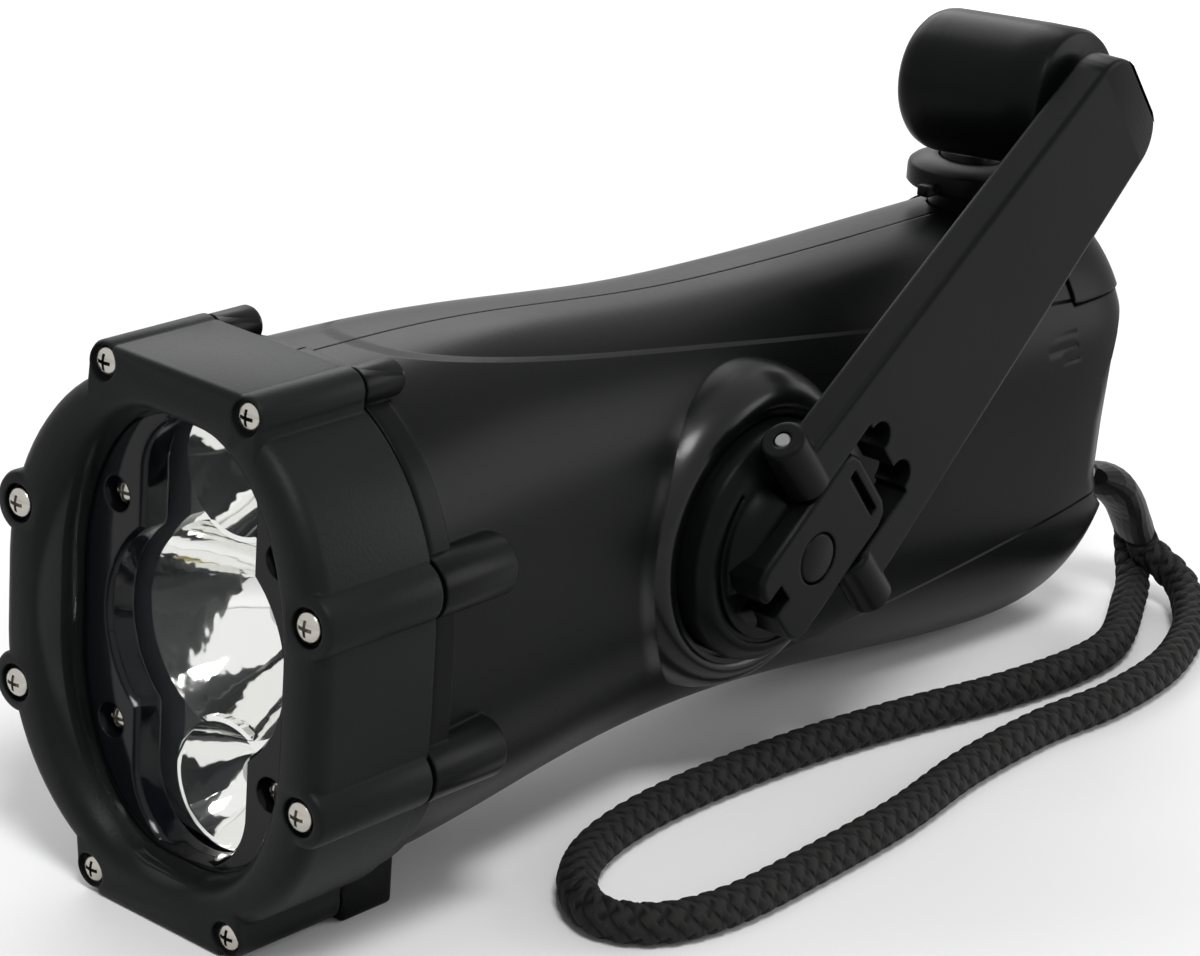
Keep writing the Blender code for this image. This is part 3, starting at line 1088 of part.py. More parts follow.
def build_gears(middle, rotor, root):
    """Middle gear on its axle, dynamo rotor with its pinion, and the carrier plate behind them."""
    frame = Matrix.Translation(MIDDLE) @ TO_NEAR
    gap_phase = math.pi + math.pi / MIDDLE_PINION_TEETH
    direction = math.radians(ROTOR_DIRECTION)
    gear = prism('wheel', gear_outline(MIDDLE_TEETH, direction), frame, -WHEEL_Y,
                 WHEEL_THICKNESS - WHEEL_Y)
    add(gear, prism('pinion', gear_outline(MIDDLE_PINION_TEETH, gap_phase), frame,
                    WHEEL_THICKNESS / 2 - WHEEL_Y, GEAR_THICKNESS + SLIDE_GAP - GEAR_Y))
    cut(gear, rod('bore', AXLE_RADIUS + SLIDE_GAP, frame, 0, RING_FACE))
    finish(gear, 'middle_gear', 'nylon_white', middle)
    axle_end = casing_y(MIDDLE.x, MIDDLE.z, WALL) - SEAT_GAP
    finish(rod('axle', AXLE_RADIUS, frame, CARRIER_THICKNESS / 4 - CARRIER_Y, axle_end), 'middle_axle',
           'steel', root)

    frame = Matrix.Translation(ROTOR) @ TO_NEAR
    phase = direction + math.pi + math.pi / ROTOR_TEETH
    magnet_top = -STATOR_Y - CARRIER_GAP
    body = rod('magnet', MAGNET_RADIUS, frame, magnet_top - MAGNET_LENGTH, magnet_top, ROUND_STEPS)
    add(body, rod('shaft', AXLE_RADIUS, frame, magnet_top - MAGNET_LENGTH - CARRIER_GAP - STATOR_BACK / 2,
                  GEAR_THICKNESS - GEAR_Y))
    add(body, prism('pinion', gear_outline(ROTOR_TEETH, phase), frame, CARRIER_GAP / 2 - WHEEL_Y,
                    WHEEL_THICKNESS + CARRIER_GAP / 2 - WHEEL_Y))
    finish(body, 'dynamo_rotor', 'steel', rotor)

    inner = MAGNET_RADIUS + CARRIER_GAP
    outer = inner + STATOR_WALL
    depth = MAGNET_LENGTH + 2 * CARRIER_GAP
    hole = AXLE_RADIUS + SLIDE_GAP
    profile = [(inner, -STATOR_Y), (outer, -STATOR_Y), (outer, -STATOR_Y - depth - STATOR_BACK),
               (hole, -STATOR_Y - depth - STATOR_BACK), (hole, -STATOR_Y - depth),
               (inner, -STATOR_Y - depth)]
    finish(turned('stator', profile, frame, ROUND_STEPS, closed=True), 'dynamo_stator', 'copper', root)


def build_carrier(root):
    """The plate that carries the inner ends of the shafts, on four posts from the near half."""
    left, right = HUB_X - CARRIER_AHEAD, ROTOR.x + CARRIER_BEHIND
    outline = []
    for x, z, start in ((right, CARRIER_HALF_HEIGHT, 0), (left, CARRIER_HALF_HEIGHT, 90),
                        (left, -CARRIER_HALF_HEIGHT, 180), (right, -CARRIER_HALF_HEIGHT, 270)):
        cx = x - math.copysign(CARRIER_CORNER, x - HUB_X)
        cz = z - math.copysign(CARRIER_CORNER, z)
        for k in range(4):
            angle = math.radians(start + 30 * k)
            outline.append((cx + CARRIER_CORNER * math.cos(angle), cz + CARRIER_CORNER * math.sin(angle)))
    plate = prism('carrier', outline, TO_NEAR, -CARRIER_Y, CARRIER_THICKNESS - CARRIER_Y)
    for x in (left + CARRIER_POST_INSET, right - CARRIER_POST_INSET):
        for z in (-CARRIER_HALF_HEIGHT + CARRIER_POST_INSET, CARRIER_HALF_HEIGHT - CARRIER_POST_INSET):
            post = rod('post', CARRIER_POST_RADIUS, at(x, 0, z) @ TO_NEAR,
                       CARRIER_THICKNESS / 2 - CARRIER_Y, BODY_HALF_WIDTH, 12)
            combine(post, cavity('inside', SEAT_GAP), 'INTERSECT')
            add(plate, post)
    for place, radius in ((HUB, SHAFT_RADIUS), (MIDDLE, AXLE_RADIUS), (ROTOR, AXLE_RADIUS)):
        cut(plate, rod('hole', radius + SLIDE_GAP, Matrix.Translation(place) @ TO_NEAR, 0,
                       CARRIER_THICKNESS + OVERRUN - CARRIER_Y))
    finish(plate, 'gear_carrier', 'matte_black', root)


def build_case_screws(root):
    for number, (x, z) in enumerate(CASE_SCREWS, 1):
        seat = casing_y(x, z, 0) - CASE_HEAD_DEPTH + SEAT_GAP
        frame = at(x, seat, z) @ TO_NEAR
        finish(screw('screw', frame, seat + CASE_SCREW_BITE), f'case_screw_{number}', 'nickel', root)


def build_dial(dial, button):
    """The selector dial with its pointer, and the push button in its middle."""
    edge = DIAL_BASE + DIAL_EDGE
    bore = STEM_RADIUS + SLIDE_GAP
    well = BUTTON_RADIUS + SLIDE_GAP
    top = edge + DIAL_CROWN
    floor = top + BUTTON_RISE - BUTTON_CAP - BUTTON_TRAVEL - SLIDE_GAP
    neck_low = dial_low()
    profile = [(bore, neck_low), (DIAL_FLANGE_RADIUS, neck_low),
               (DIAL_FLANGE_RADIUS, neck_low + DIAL_FLANGE_THICKNESS),
               (DIAL_NECK_RADIUS, neck_low + DIAL_FLANGE_THICKNESS), (DIAL_NECK_RADIUS, DIAL_BASE),
               (DIAL_RADIUS, DIAL_BASE), (DIAL_RADIUS, edge),
               (DIAL_RADIUS - DIAL_CROWN, top - DIAL_CROWN / 3), (well, top), (well, floor), (bore, floor)]
    body = turned('dial', profile, at(DIAL_X), ROUND_STEPS, closed=True)
    reach = DIAL_RADIUS + POINTER_LENGTH
    pointer = block('pointer', (DIAL_X - reach, -POINTER_WIDTH / 2, DIAL_BASE),
                    (DIAL_X - DIAL_RADIUS + DIAL_CROWN, POINTER_WIDTH / 2, DIAL_BASE + POINTER_HEIGHT))
    add(body, pointer)
    finish(body, 'selector_dial', 'satin_black', dial)

    cap_top = top + BUTTON_RISE
    stem_end = switch_top() - STEM_REACH
    cap = turned('cap', [(STEM_RADIUS, stem_end), (STEM_RADIUS, cap_top - BUTTON_CAP),
                         (BUTTON_RADIUS, cap_top - BUTTON_CAP), (BUTTON_RADIUS, cap_top - BUTTON_RIB_DEPTH),
                         (BUTTON_RADIUS - BUTTON_RIB_DEPTH, cap_top)], at(DIAL_X), 24)
    for k in range(BUTTON_RIB_COUNT):
        x = DIAL_X + (k - (BUTTON_RIB_COUNT - 1) / 2) * BUTTON_RIB_PITCH
        cut(cap, block('rib', (x - BUTTON_RIB_WIDTH / 2, -BUTTON_RADIUS, cap_top - BUTTON_RIB_DEPTH),
                       (x + BUTTON_RIB_WIDTH / 2, BUTTON_RADIUS, cap_top + OVERRUN)))
    finish(cap, 'push_button', 'gloss_black', button)


def build_control_board(root):
    """The board across the tail and the switch that stands on it."""
    board = block('board', (CONTROL_BOARD_FRONT, -BODY_HALF_WIDTH, BOARD_Z),
                  (CONTROL_BOARD_REAR, BODY_HALF_WIDTH, BOARD_Z + BOARD_THICKNESS))
    combine(board, cavity('inside', SEAT_GAP), 'INTERSECT')
    finish(board, 'control_board', 'board', root)
    switch = block('switch', (DIAL_X - SWITCH_LENGTH / 2, -SWITCH_WIDTH / 2,
                              BOARD_Z + BOARD_THICKNESS + SEAT_GAP),
                   (DIAL_X + SWITCH_LENGTH / 2, SWITCH_WIDTH / 2, switch_top()))
    cut(switch, rod('socket', STEM_RADIUS + SLIDE_GAP, at(DIAL_X),
                    switch_top() - STEM_REACH - BUTTON_TRAVEL - SLIDE_GAP, switch_top() + OVERRUN))
    finish(switch, 'switch_unit', 'matte_black', root)


def smooth_points(route, count):
    """Evenly spread points on a smooth curve through a route's own points."""
    ends = [2 * route[0] - route[1]] + route + [2 * route[-1] - route[-2]]
    dense = []
    for a, b, c, d in zip(ends, ends[1:], ends[2:], ends[3:]):
        for k in range(24):
            t = k / 24
            dense.append(((2 * b) + (c - a) * t + (2 * a - 5 * b + 4 * c - d) * t ** 2
                          + (3 * b - a - 3 * c + d) * t ** 3) / 2)
    dense.append(route[-1])
    run = [0]
    for p, q in zip(dense, dense[1:]):
        run.append(run[-1] + (q - p).length)
    points, k = [], 0
    for step in range(count):
        goal = run[-1] * step / (count - 1)
        while k < len(dense) - 2 and run[k + 1] < goal:
            k += 1
        part = (goal - run[k]) / (run[k + 1] - run[k])
        points.append(dense[k].lerp(dense[k + 1], min(part, 1)))
    return points


def tube(name, points, radius, sides):
    """A round cord along points."""
    curve = bpy.data.curves.new(name, 'CURVE')
    curve.dimensions = '3D'
    curve.bevel_depth = radius
    curve.bevel_resolution = sides
    curve.use_fill_caps = True
    spline = curve.splines.new('POLY')
    spline.points.add(len(points) - 1)
    for point, place in zip(spline.points, points):
        point.co = (*place, 1)
    thing = bpy.data.objects.new(name, curve)
    bpy.context.scene.collection.objects.link(thing)
    return thing


def build_strap(root):
    """Pin in the tail, thread round it, sleeve, and the braided loop on the ground."""
    pin = rod('pin', STRAP_PIN_RADIUS, at(STRAP_PIN_X, 0, PIN_POCKET_Z) @ TO_NEAR,
              -PIN_POCKET_Y - PIN_POCKET_WIDTH / 2 - OVERRUN + SEAT_GAP,
              -PIN_POCKET_Y + PIN_POCKET_WIDTH / 2 + OVERRUN - SEAT_GAP)
    finish(pin, 'strap_pin', 'steel', root)

    route = [Vector(point) for point in SLEEVE_ROUTE]
    spread = Vector(SLEEVE_SPREAD).normalized()
    path = smooth_points(route, 9)
    loops = []
    for k, point in enumerate(path):
        ahead = (path[min(k + 1, len(path) - 1)] - path[max(k - 1, 0)]).normalized()
        wide = (spread - ahead * spread.dot(ahead)).normalized()
        thin = ahead.cross(wide)
        share = SLEEVE_NOSE_SHARES[k] if k < len(SLEEVE_NOSE_SHARES) else 1
        loops.append([point + (wide * SLEEVE_HALF_DEPTH * math.cos(2 * math.pi * j / 20)
                               + thin * SLEEVE_HALF_WIDTH * math.sin(2 * math.pi * j / 20)) * share
                      for j in range(20)])
    finish(loft('sleeve', loops), 'strap_sleeve', 'rubber', root)

    start = path[0] + (path[0] - path[1]).normalized() * SLEEVE_GAP
    centre = Vector((STRAP_PIN_X, PIN_POCKET_Y, PIN_POCKET_Z))
    side = Vector((0, 0, THREAD_LOOP_RADIUS))
    back = Vector((THREAD_LOOP_RADIUS, 0, 0))
    way = centre.lerp(start, THREAD_PLACE_SHARE)
    loop = [start + side * THREAD_MOUTH_SHARE, way + side * THREAD_WAY_SHARE, centre + side, centre - back,
            centre - side, way - side * THREAD_WAY_SHARE, start - side * THREAD_MOUTH_SHARE]
    thread = tube('thread', smooth_points(loop, THREAD_POINTS), THREAD_RADIUS, 2)
    finish(thread, 'strap_thread', 'braid', root, (0, 0, 0))
    mouth = path[-1] + ahead * SLEEVE_GAP
    strands = [mouth + wide * CORD_RADIUS * side * STRAND_SPREAD_SHARE for side in (-1, 1)]
    leads = [strand + ahead * CORD_RADIUS for strand in strands]
    route = [leads[0]] + [Vector(p) for p in CORD_ROUTE] + [leads[1]]
    lay = [strands[0]] + smooth_points(route, CORD_POINTS) + [strands[1]]
    cord = tube('cord', lay, CORD_RADIUS, 2)
    finish(cord, 'strap_cord', 'braid', root, (0, 0, 0))


def clear_scene():
    for thing in list(bpy.data.objects):
        bpy.data.objects.remove(thing, do_unlink=True)


def main():
    clear_scene()
    root = pivot('light', (0, 0, 0))
    root.location = ((FRONT_EDGE - TAIL_END) / 2, (NEAR_EDGE - FAR_EDGE) / 2, STAND_HEIGHT)
    crank = pivot('crank_axis', (HUB_X, PIN_Y, HUB_Z), root)
    arm = pivot('hinge_axis', pin_frame().translation, crank)
    knob = pivot('knob_axis', knob_place(), arm)
    middle = pivot('middle_gear_axis', MIDDLE, root)
    rotor = pivot('dynamo_axis', ROTOR, root)
    dial = pivot('dial_axis', (DIAL_X, 0, DIAL_BASE), root)
    button = pivot('button_axis', (DIAL_X, 0, DIAL_BASE), root)
    build_near_shell(root)
    build_far_shell(root)
    build_tail_cover(root)
    build_bezel(root)
    build_bezel_screws(root)
    build_seal(root)
    build_lens_frame(root)
    build_lens(root)
    build_reflector(root)
    build_inner_screws(root)
    build_leds(root)
    build_batteries(root)
    build_bush(root)
    build_crank(crank)
    build_hinge_pin(crank)
    build_arm(arm)
    build_knob(arm, knob)
    build_gears(middle, rotor, root)
    build_carrier(root)
    build_case_screws(root)
    build_dial(dial, button)
    build_control_board(root)
    build_strap(root)


main()
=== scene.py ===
import math

import bmesh
import bpy
from mathutils import Matrix, Vector


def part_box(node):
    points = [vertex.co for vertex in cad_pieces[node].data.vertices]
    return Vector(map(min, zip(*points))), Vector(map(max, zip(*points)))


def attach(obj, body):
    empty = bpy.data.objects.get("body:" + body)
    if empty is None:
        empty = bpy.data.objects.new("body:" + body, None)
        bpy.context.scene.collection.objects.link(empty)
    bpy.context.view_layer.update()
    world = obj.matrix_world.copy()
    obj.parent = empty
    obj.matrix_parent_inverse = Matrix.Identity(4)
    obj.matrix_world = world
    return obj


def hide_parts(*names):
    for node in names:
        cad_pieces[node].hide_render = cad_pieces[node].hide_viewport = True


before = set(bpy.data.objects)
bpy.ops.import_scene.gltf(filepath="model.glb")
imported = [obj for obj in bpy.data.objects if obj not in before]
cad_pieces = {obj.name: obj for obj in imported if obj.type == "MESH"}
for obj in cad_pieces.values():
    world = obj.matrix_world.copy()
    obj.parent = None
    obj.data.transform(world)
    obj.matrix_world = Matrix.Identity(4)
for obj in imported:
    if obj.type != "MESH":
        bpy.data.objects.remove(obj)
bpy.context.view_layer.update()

# The CAD was drawn from the middle of the bezel's screw plane. This is where that point
# lies in the shared frame, with the light's box centred and its foot on the ground.
screw_plane = Vector((-0.09255, 0.00195, 0.0394))


# The camera stands in front of the head, on the crank's side and a little above it, and
# is tipped by four degrees. It is far off, with a long lens.
heading, pitch, tip = math.radians(-50.097), math.radians(90 - 20.645), math.radians(4.213)
aim = (Matrix.Rotation(heading, 3, 'Z') @ Matrix.Rotation(pitch, 3, 'X')
       @ Matrix.Rotation(tip, 3, 'Z'))
camera_place = screw_plane + Vector((-0.3123, -0.3313, 0.1986))
bpy.ops.object.camera_add(location=camera_place, rotation=aim.to_euler())
camera = bpy.context.object
camera.data.lens = 114.83
camera.data.clip_start = 0.01
bpy.context.scene.camera = camera


# The strap's braided cord, 5.8 mm thick. It leaves the sleeve, lies in one long loop on
# the ground beside the light and goes back into the sleeve.
def distances(points):
    """How far along a line of points each of them lies."""
    run = [0]
    for p, q in zip(points, points[1:]):
        run.append(run[-1] + (q - p).length)
    return run


def smooth_route(route, count):
    """Evenly spread points on a smooth curve through a route's own points."""
    per_span = 24
    ends = [2 * route[0] - route[1]] + route + [2 * route[-1] - route[-2]]
    dense = []
    for a, b, c, d in zip(ends, ends[1:], ends[2:], ends[3:]):
        for k in range(per_span):
            t = k / per_span
            dense.append(((2 * b) + (c - a) * t + (2 * a - 5 * b + 4 * c - d) * t ** 2
                          + (3 * b - a - 3 * c + d) * t ** 3) / 2)
    dense.append(route[-1])
    run = distances(dense)
    points, k = [], 0
    for step in range(count):
        goal = run[-1] * step / (count - 1)
        while k < len(dense) - 2 and run[k + 1] < goal:
            k += 1
        part = (goal - run[k]) / (run[k + 1] - run[k])
        points.append(dense[k].lerp(dense[k + 1], min(part, 1)))
    return points


class Field:
    """A number that changes over a surface. Sums and products of fields add Math nodes."""

    def __init__(self, finish, socket):
        self.finish = finish
        self.socket = socket

    def math(self, operation, *values):
        made = self.finish.node('ShaderNodeMath', {'operation': operation},
                                dict(enumerate(values)))
        return Field(self.finish, made.outputs[0])

    def __add__(self, other):
        return self.math('ADD', self, other)

    __radd__ = __add__

    def __sub__(self, other):
        return self.math('SUBTRACT', self, other)

    def __rsub__(self, other):
        return self.math('SUBTRACT', other, self)

    def __mul__(self, other):
        return self.math('MULTIPLY', self, other)

    __rmul__ = __mul__

    def __pow__(self, other):
        return self.math('POWER', self, other)

    def __abs__(self):
        return self.math('ABSOLUTE', self)

    def fraction(self):
        return self.math('FRACT', self)

    def sine(self):
        return self.math('SINE', self)

    def step(self, low, high):
        """0 below low, 1 above high, and smooth between them."""
        ranged = self.finish.node('ShaderNodeMapRange', {'interpolation_type': 'SMOOTHSTEP'},
                                  {'Value': self, 'From Min': low, 'From Max': high})
        return Field(self.finish, ranged.outputs['Result'])


class Finish:
    """A material for one of the light's surfaces, round its Principled shader."""

    def __init__(self, name, **sockets):
        self.material = bpy.data.materials.new(name)
        self.material.use_nodes = True
        self.tree = self.material.node_tree
        self.shader = self.tree.nodes['Principled BSDF']
        self.feed(self.shader, {key.replace('_', ' '): value for key, value in sockets.items()})

    def feed(self, node, sockets):
        """Gives a node's sockets their values or links."""
        for key, value in sockets.items():
            socket = node.inputs[key]
            if isinstance(value, Field):
                value = value.socket
            if isinstance(value, bpy.types.NodeSocket):
                self.tree.links.new(value, socket)
            elif isinstance(value, tuple) and socket.type == 'RGBA':
                socket.default_value = (*value, 1)
            else:
                socket.default_value = value

    def node(self, kind, settings=None, sockets=None):
        """A node of that kind, with its settings first and then its sockets' values or links."""
        made = self.tree.nodes.new(kind)
        for key, value in (settings or {}).items():
            setattr(made, key, value)
        self.feed(made, sockets or {})
        return made

    def place(self):
        """The X, Y and Z fields of a point on the piece, in metres."""
        here = self.node('ShaderNodeTexCoord').outputs['Object']
        parts = self.node('ShaderNodeSeparateXYZ', None, {0: here})
        return [Field(self, parts.outputs[k]) for k in range(3)]

    def noise(self, size, detail, squeeze=(1, 1, 1)):
        """Noise whose grains are about size metres across, closer together along some axes."""
        here = self.node('ShaderNodeTexCoord').outputs['Object']
        scaled = self.node('ShaderNodeVectorMath', {'operation': 'MULTIPLY'},
                           {0: here, 1: squeeze})
        grains = self.node('ShaderNodeTexNoise', None,
                           {'Vector': scaled.outputs[0], 'Scale': 1 / size, 'Detail': detail})
        return Field(self, grains.outputs['Fac'])

    def soft_edges(self, radius):
        """Normals that round the piece's edges over, up to radius metres from each."""
        return self.node('ShaderNodeBevel', {'samples': 4}, {'Radius': radius}).outputs[0]

    def bump(self, height, distance, over=None):
        """Raises the surface by height times distance, over earlier normals if there are any."""
        sockets = {'Height': height, 'Distance': distance}
        if over is not None:
            sockets['Normal'] = over
        made = self.node('ShaderNodeBump', None, sockets)
        self.feed(self.shader, {'Normal': made.outputs[0]})
        return made.outputs[0]

    def mix(self, share, first, second):
        """A colour between two colours."""
        made = self.node('ShaderNodeMix', {'data_type': 'RGBA'},
                         {'Factor': share, 'A': first, 'B': second})
        return made.outputs[2]

    def paint(self, piece, slot=None):
        """Puts the finish on a piece, in place of what it had."""
        piece.data.materials.clear()
        piece.data.materials.append(self.material)


def skin(name, rings):
    """A closed piece over a row of rings of points, with a flat face at each end."""
    count = len(rings[0])
    faces = [(k * count + j, k * count + (j + 1) % count,
              (k + 1) * count + (j + 1) % count, (k + 1) * count + j)
             for k in range(len(rings) - 1) for j in range(count)]
    faces.append(tuple(reversed(range(count))))
    faces.append(tuple((len(rings) - 1) * count + j for j in range(count)))
    mesh = bpy.data.meshes.new(name)
    mesh.from_pydata([point for ring in rings for point in ring], [], faces)
    piece = bpy.data.objects.new(name, mesh)
    bpy.context.scene.collection.objects.link(piece)
    return piece


def cloth_tube(name, points, radius, around, relief=None):
    """A tube round a line of points. U runs round it once and V along it, in metres."""
    rings, run = [], distances(points)
    side = (points[1] - points[0]).orthogonal().normalized()
    for k, point in enumerate(points):
        ahead = (points[min(k + 1, len(points) - 1)] - points[max(k - 1, 0)]).normalized()
        side = (side - ahead * side.dot(ahead)).normalized()
        up = ahead.cross(side)
        ring = []
        for j in range(around):
            angle = 2 * math.pi * j / around
            size = radius * relief(j / around, run[k]) if relief else radius
            ring.append(point + (side * math.cos(angle) + up * math.sin(angle)) * size)
        rings.append(ring)
    tube = skin(name, rings)
    layer = tube.data.uv_layers.new(name='along')
    for face in tube.data.polygons[:-2]:
        k, j = divmod(face.index, around)
        places = ((j, k), (j + 1, k), (j + 1, k + 1), (j, k + 1))
        for corner, (u, v) in zip(face.loop_indices, places):
            layer.data[corner].uv = (u / around, run[v])
    for face in tube.data.polygons:
        face.use_smooth = True
    return tube, run[-1]


cord_radius, cord_points, cord_sides = 0.0029, 1150, 40
seat = 0.0003    # half the gap from the sleeve's end faces to the cord and to the thread
apart = 1.04    # from the sleeve's middle line to each end of the cord, in cord radii
sleeve_line = smooth_route([screw_plane + Vector(p) for p in (
    (0.1895, -0.0165, -0.0158), (0.1942, -0.0167, -0.0182), (0.1985, -0.0170, -0.0220),
    (0.2016, -0.0174, -0.0268))], 9)
sleeve_end = (sleeve_line[-1] - sleeve_line[-2]).normalized()
across = Vector((-0.70, -0.62, 0.35)).normalized()
across = (across - sleeve_end * across.dot(sleeve_end)).normalized()
cord_line = [screw_plane + Vector(p) for p in (
    (0.2040, -0.0164, -0.0328), (0.1995, -0.0202, -0.0359), (0.1930, -0.0238, -0.0364),
    (0.1770, -0.0318, -0.0364), (0.1635, -0.0336, -0.0364), (0.1455, -0.0318, -0.0364),
    (0.1256, -0.0277, -0.0364), (0.1056, -0.0247, -0.0364), (0.0846, -0.0234, -0.0364),
    (0.0676, -0.0242, -0.0364), (0.0546, -0.0274, -0.0364), (0.0456, -0.0334, -0.0364),
    (0.0420, -0.0408, -0.0364), (0.0466, -0.0474, -0.0364), (0.0576, -0.0504, -0.0364),
    (0.0746, -0.0502, -0.0364), (0.0976, -0.0486, -0.0364), (0.1186, -0.0452, -0.0364),
    (0.1396, -0.0440, -0.0364), (0.1566, -0.0450, -0.0364), (0.1742, -0.0432, -0.0364),
    (0.1890, -0.0380, -0.0363), (0.1975, -0.0326, -0.0360), (0.2024, -0.0272, -0.0343))]
mouths = [sleeve_line[-1] + sleeve_end * 2 * seat + across * cord_radius * side * apart
          for side in (-1, 1)]
leads = [mouth + sleeve_end * cord_radius for mouth in mouths]
lay = [mouths[0]] + smooth_route([leads[0]] + cord_line + [leads[1]], cord_points) + [mouths[1]]

strands = 4    # strands of the braid that are laid round the cord each way
plait = 0.0064    # length along the cord of one plait, where two strands of a way pass
valley = 0.84    # radius between two strands, as a share of the radius over them
passing = 0.35    # how softly a strand dips under another, as a share of its swing


def plaited(turn, along):
    """Share of the cord's radius at a place on it, from the strands laid each way."""
    swell = [1 - (abs((turn * strands + along * way * 2 / plait) % 1 - 0.5) * 2) ** 2
             for way in (1, -1)]
    over = (math.sin((turn * strands - along * 2 / plait) * 2 * math.pi)
            * math.sin(along * 4 * math.pi / plait) + passing) / (2 * passing)
    over = min(max(over, 0), 1)
    return valley + (1 - valley) * (swell[0] * over + swell[1] * (1 - over))


cord, cord_length = cloth_tube('wrist_cord', lay, cord_radius, cord_sides, plaited)

braid = Finish('black_braid', Specular_IOR_Level=0.2)
along = braid.node('ShaderNodeUVMap', {'uv_map': 'along'}).outputs[0]
parts = braid.node('ShaderNodeSeparateXYZ', None, {0: along})
round_it, down_it = Field(braid, parts.outputs[0]), Field(braid, parts.outputs[1])
crowns = []
for way in (1, -1):
    lane = round_it * strands + down_it * (way * 2 / plait)
    crowns.append(1 - (abs(lane.fraction() - 0.5) * 2) ** 2)
slant = (round_it * strands - down_it * (2 / plait)) * math.pi * 2
beat = down_it * (4 * math.pi / plait)
on_top = (beat.sine() * slant.sine()).step(-passing, passing)
weave = crowns[0] * on_top + crowns[1] * (1 - on_top)
fibres = braid.noise(size=0.00022, detail=3.0)
braid.bump(weave + fibres * 0.4, distance=0.0003)
# The colour is painted shade between the strands: dark where the weave dips, lighter on the crowns
# of the strands.
braid.feed(braid.shader, {
    'Base Color': braid.mix(weave.step(0.2, 0.9), (0.0012, 0.0012, 0.0013),
                            (0.0105, 0.0105, 0.0100)),
    'Roughness': 0.62 + fibres * 0.25})
braid.paint(cord, 'braid')
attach(cord, 'light_body')
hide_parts('strap_cord')


# The sleeve is a short moulded tube of black rubber that grips both ends of the cord, and
# the thin thread in its other end goes round the steel pin in the tail.
rubber = Finish('black_rubber', Base_Color=(0.003, 0.003, 0.0032), Roughness=0.45,
                Specular_IOR_Level=0.2)
rubber.bump(rubber.noise(size=0.0006, detail=2.0), distance=0.00005)
rubber.paint(cad_pieces['strap_sleeve'])
thread_radius, thread_loop, thread_points, thread_sides = 0.0008, 0.0026, 60, 16
pinched, spread = 0.42, 0.9    # of the loop's radius, at the sleeve and on the way to it
start = sleeve_line[0] + (sleeve_line[0] - sleeve_line[1]).normalized() * 2 * seat
pin_centre = screw_plane + Vector((0.1810, -0.0155, -0.0120))
on_the_way = pin_centre.lerp(start, 0.4)
rise, back = Vector((0, 0, thread_loop)), Vector((thread_loop, 0, 0))
thread_line = smooth_route([
    start + rise * pinched, on_the_way + rise * spread, pin_centre + rise, pin_centre - back,
    pin_centre - rise, on_the_way - rise * spread, start - rise * pinched], thread_points)
thread, _ = cloth_tube('strap_thread_cord', thread_line, thread_radius, thread_sides)
braid.paint(thread, 'braid')
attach(thread, 'light_body')
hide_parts('strap_thread')


# The casing: two moulded halves of satin black plastic, screwed together along the middle.
# Each is a hollow shell, drawn out from a rounded section and narrowed to a waist.
def spot(x, y, z):
    """A point of the light in the shared frame, from its millimetres off the screw plane."""
    return screw_plane + Vector((x, y, z)) / 1000


def only(thing):
    """Selects one piece and nothing else."""
    bpy.ops.object.select_all(action='DESELECT')
    bpy.context.view_layer.objects.active = thing
    thing.select_set(True)


def begin(name, primitive, **settings):
    """Adds a primitive with nothing else selected, and opens it for editing."""
    bpy.ops.object.select_all(action='DESELECT')
    primitive(**settings)
    thing = bpy.context.object
    thing.name = name
    bpy.ops.object.mode_set(mode='EDIT')
    return thing


def pick(test, kind='faces'):
    """Selects the faces, edges or verts of the piece in hand that pass a test."""
    bpy.ops.mesh.select_mode(type={'faces': 'FACE', 'edges': 'EDGE', 'verts': 'VERT'}[kind])
    bpy.ops.mesh.select_all(action='DESELECT')
    shape = bmesh.from_edit_mesh(bpy.context.object.data)
    for part in getattr(shape, kind):
        part.select_set(bool(test(part)))
    bmesh.update_edit_mesh(bpy.context.object.data)


def smooth(thing, degrees=35):
    """Shades a piece smooth, with a crisp line where its faces turn by more degrees."""
    only(thing)
    bpy.ops.object.shade_smooth_by_angle(angle=math.radians(degrees))


def end():
    """Closes the piece in hand: faces out, and its place put into its mesh."""
    bpy.ops.mesh.select_all(action='SELECT')
    bpy.ops.mesh.remove_doubles(threshold=0.000001)
    bpy.ops.mesh.normals_make_consistent(inside=False)
    bpy.ops.object.mode_set(mode='OBJECT')
    bpy.ops.object.transform_apply(location=True, rotation=True, scale=True)
    smooth(bpy.context.object)
    return bpy.context.object


def combine(thing, tool, how='DIFFERENCE'):
    """Cuts a tool out of a piece, or joins it in, and takes the tool away."""
    only(thing)
    bpy.ops.object.modifier_add(type='BOOLEAN')
    modifier = thing.modifiers[-1]
    modifier.operation, modifier.object, modifier.solver = how, tool, 'EXACT'
    bpy.ops.object.modifier_apply(modifier=modifier.name)
    bpy.data.objects.remove(tool)


def copy_of(thing, name):
    """A second piece like the first, with its own mesh."""
    only(thing)
    bpy.ops.object.duplicate()
    bpy.context.object.name = name
    return bpy.context.object


def section(name, x, wide, top, bottom, steps):
    """Starts a piece as a rounded section across the light, ready to be drawn out along it."""
    corner = 0.841    # of half the section's width and height
    middle = spot(x, 0, (top - bottom) / 2)
    thing = begin(name, bpy.ops.mesh.primitive_plane_add, size=2, location=middle,
                  rotation=(0, math.pi / 2, 0))
    bpy.ops.mesh.bevel(offset=corner, segments=steps, affect='VERTICES')
    bpy.ops.mesh.select_all(action='SELECT')
    bpy.ops.transform.resize(value=(1, wide / 1000, (top + bottom) / 2000),
                             center_override=middle)
    return thing


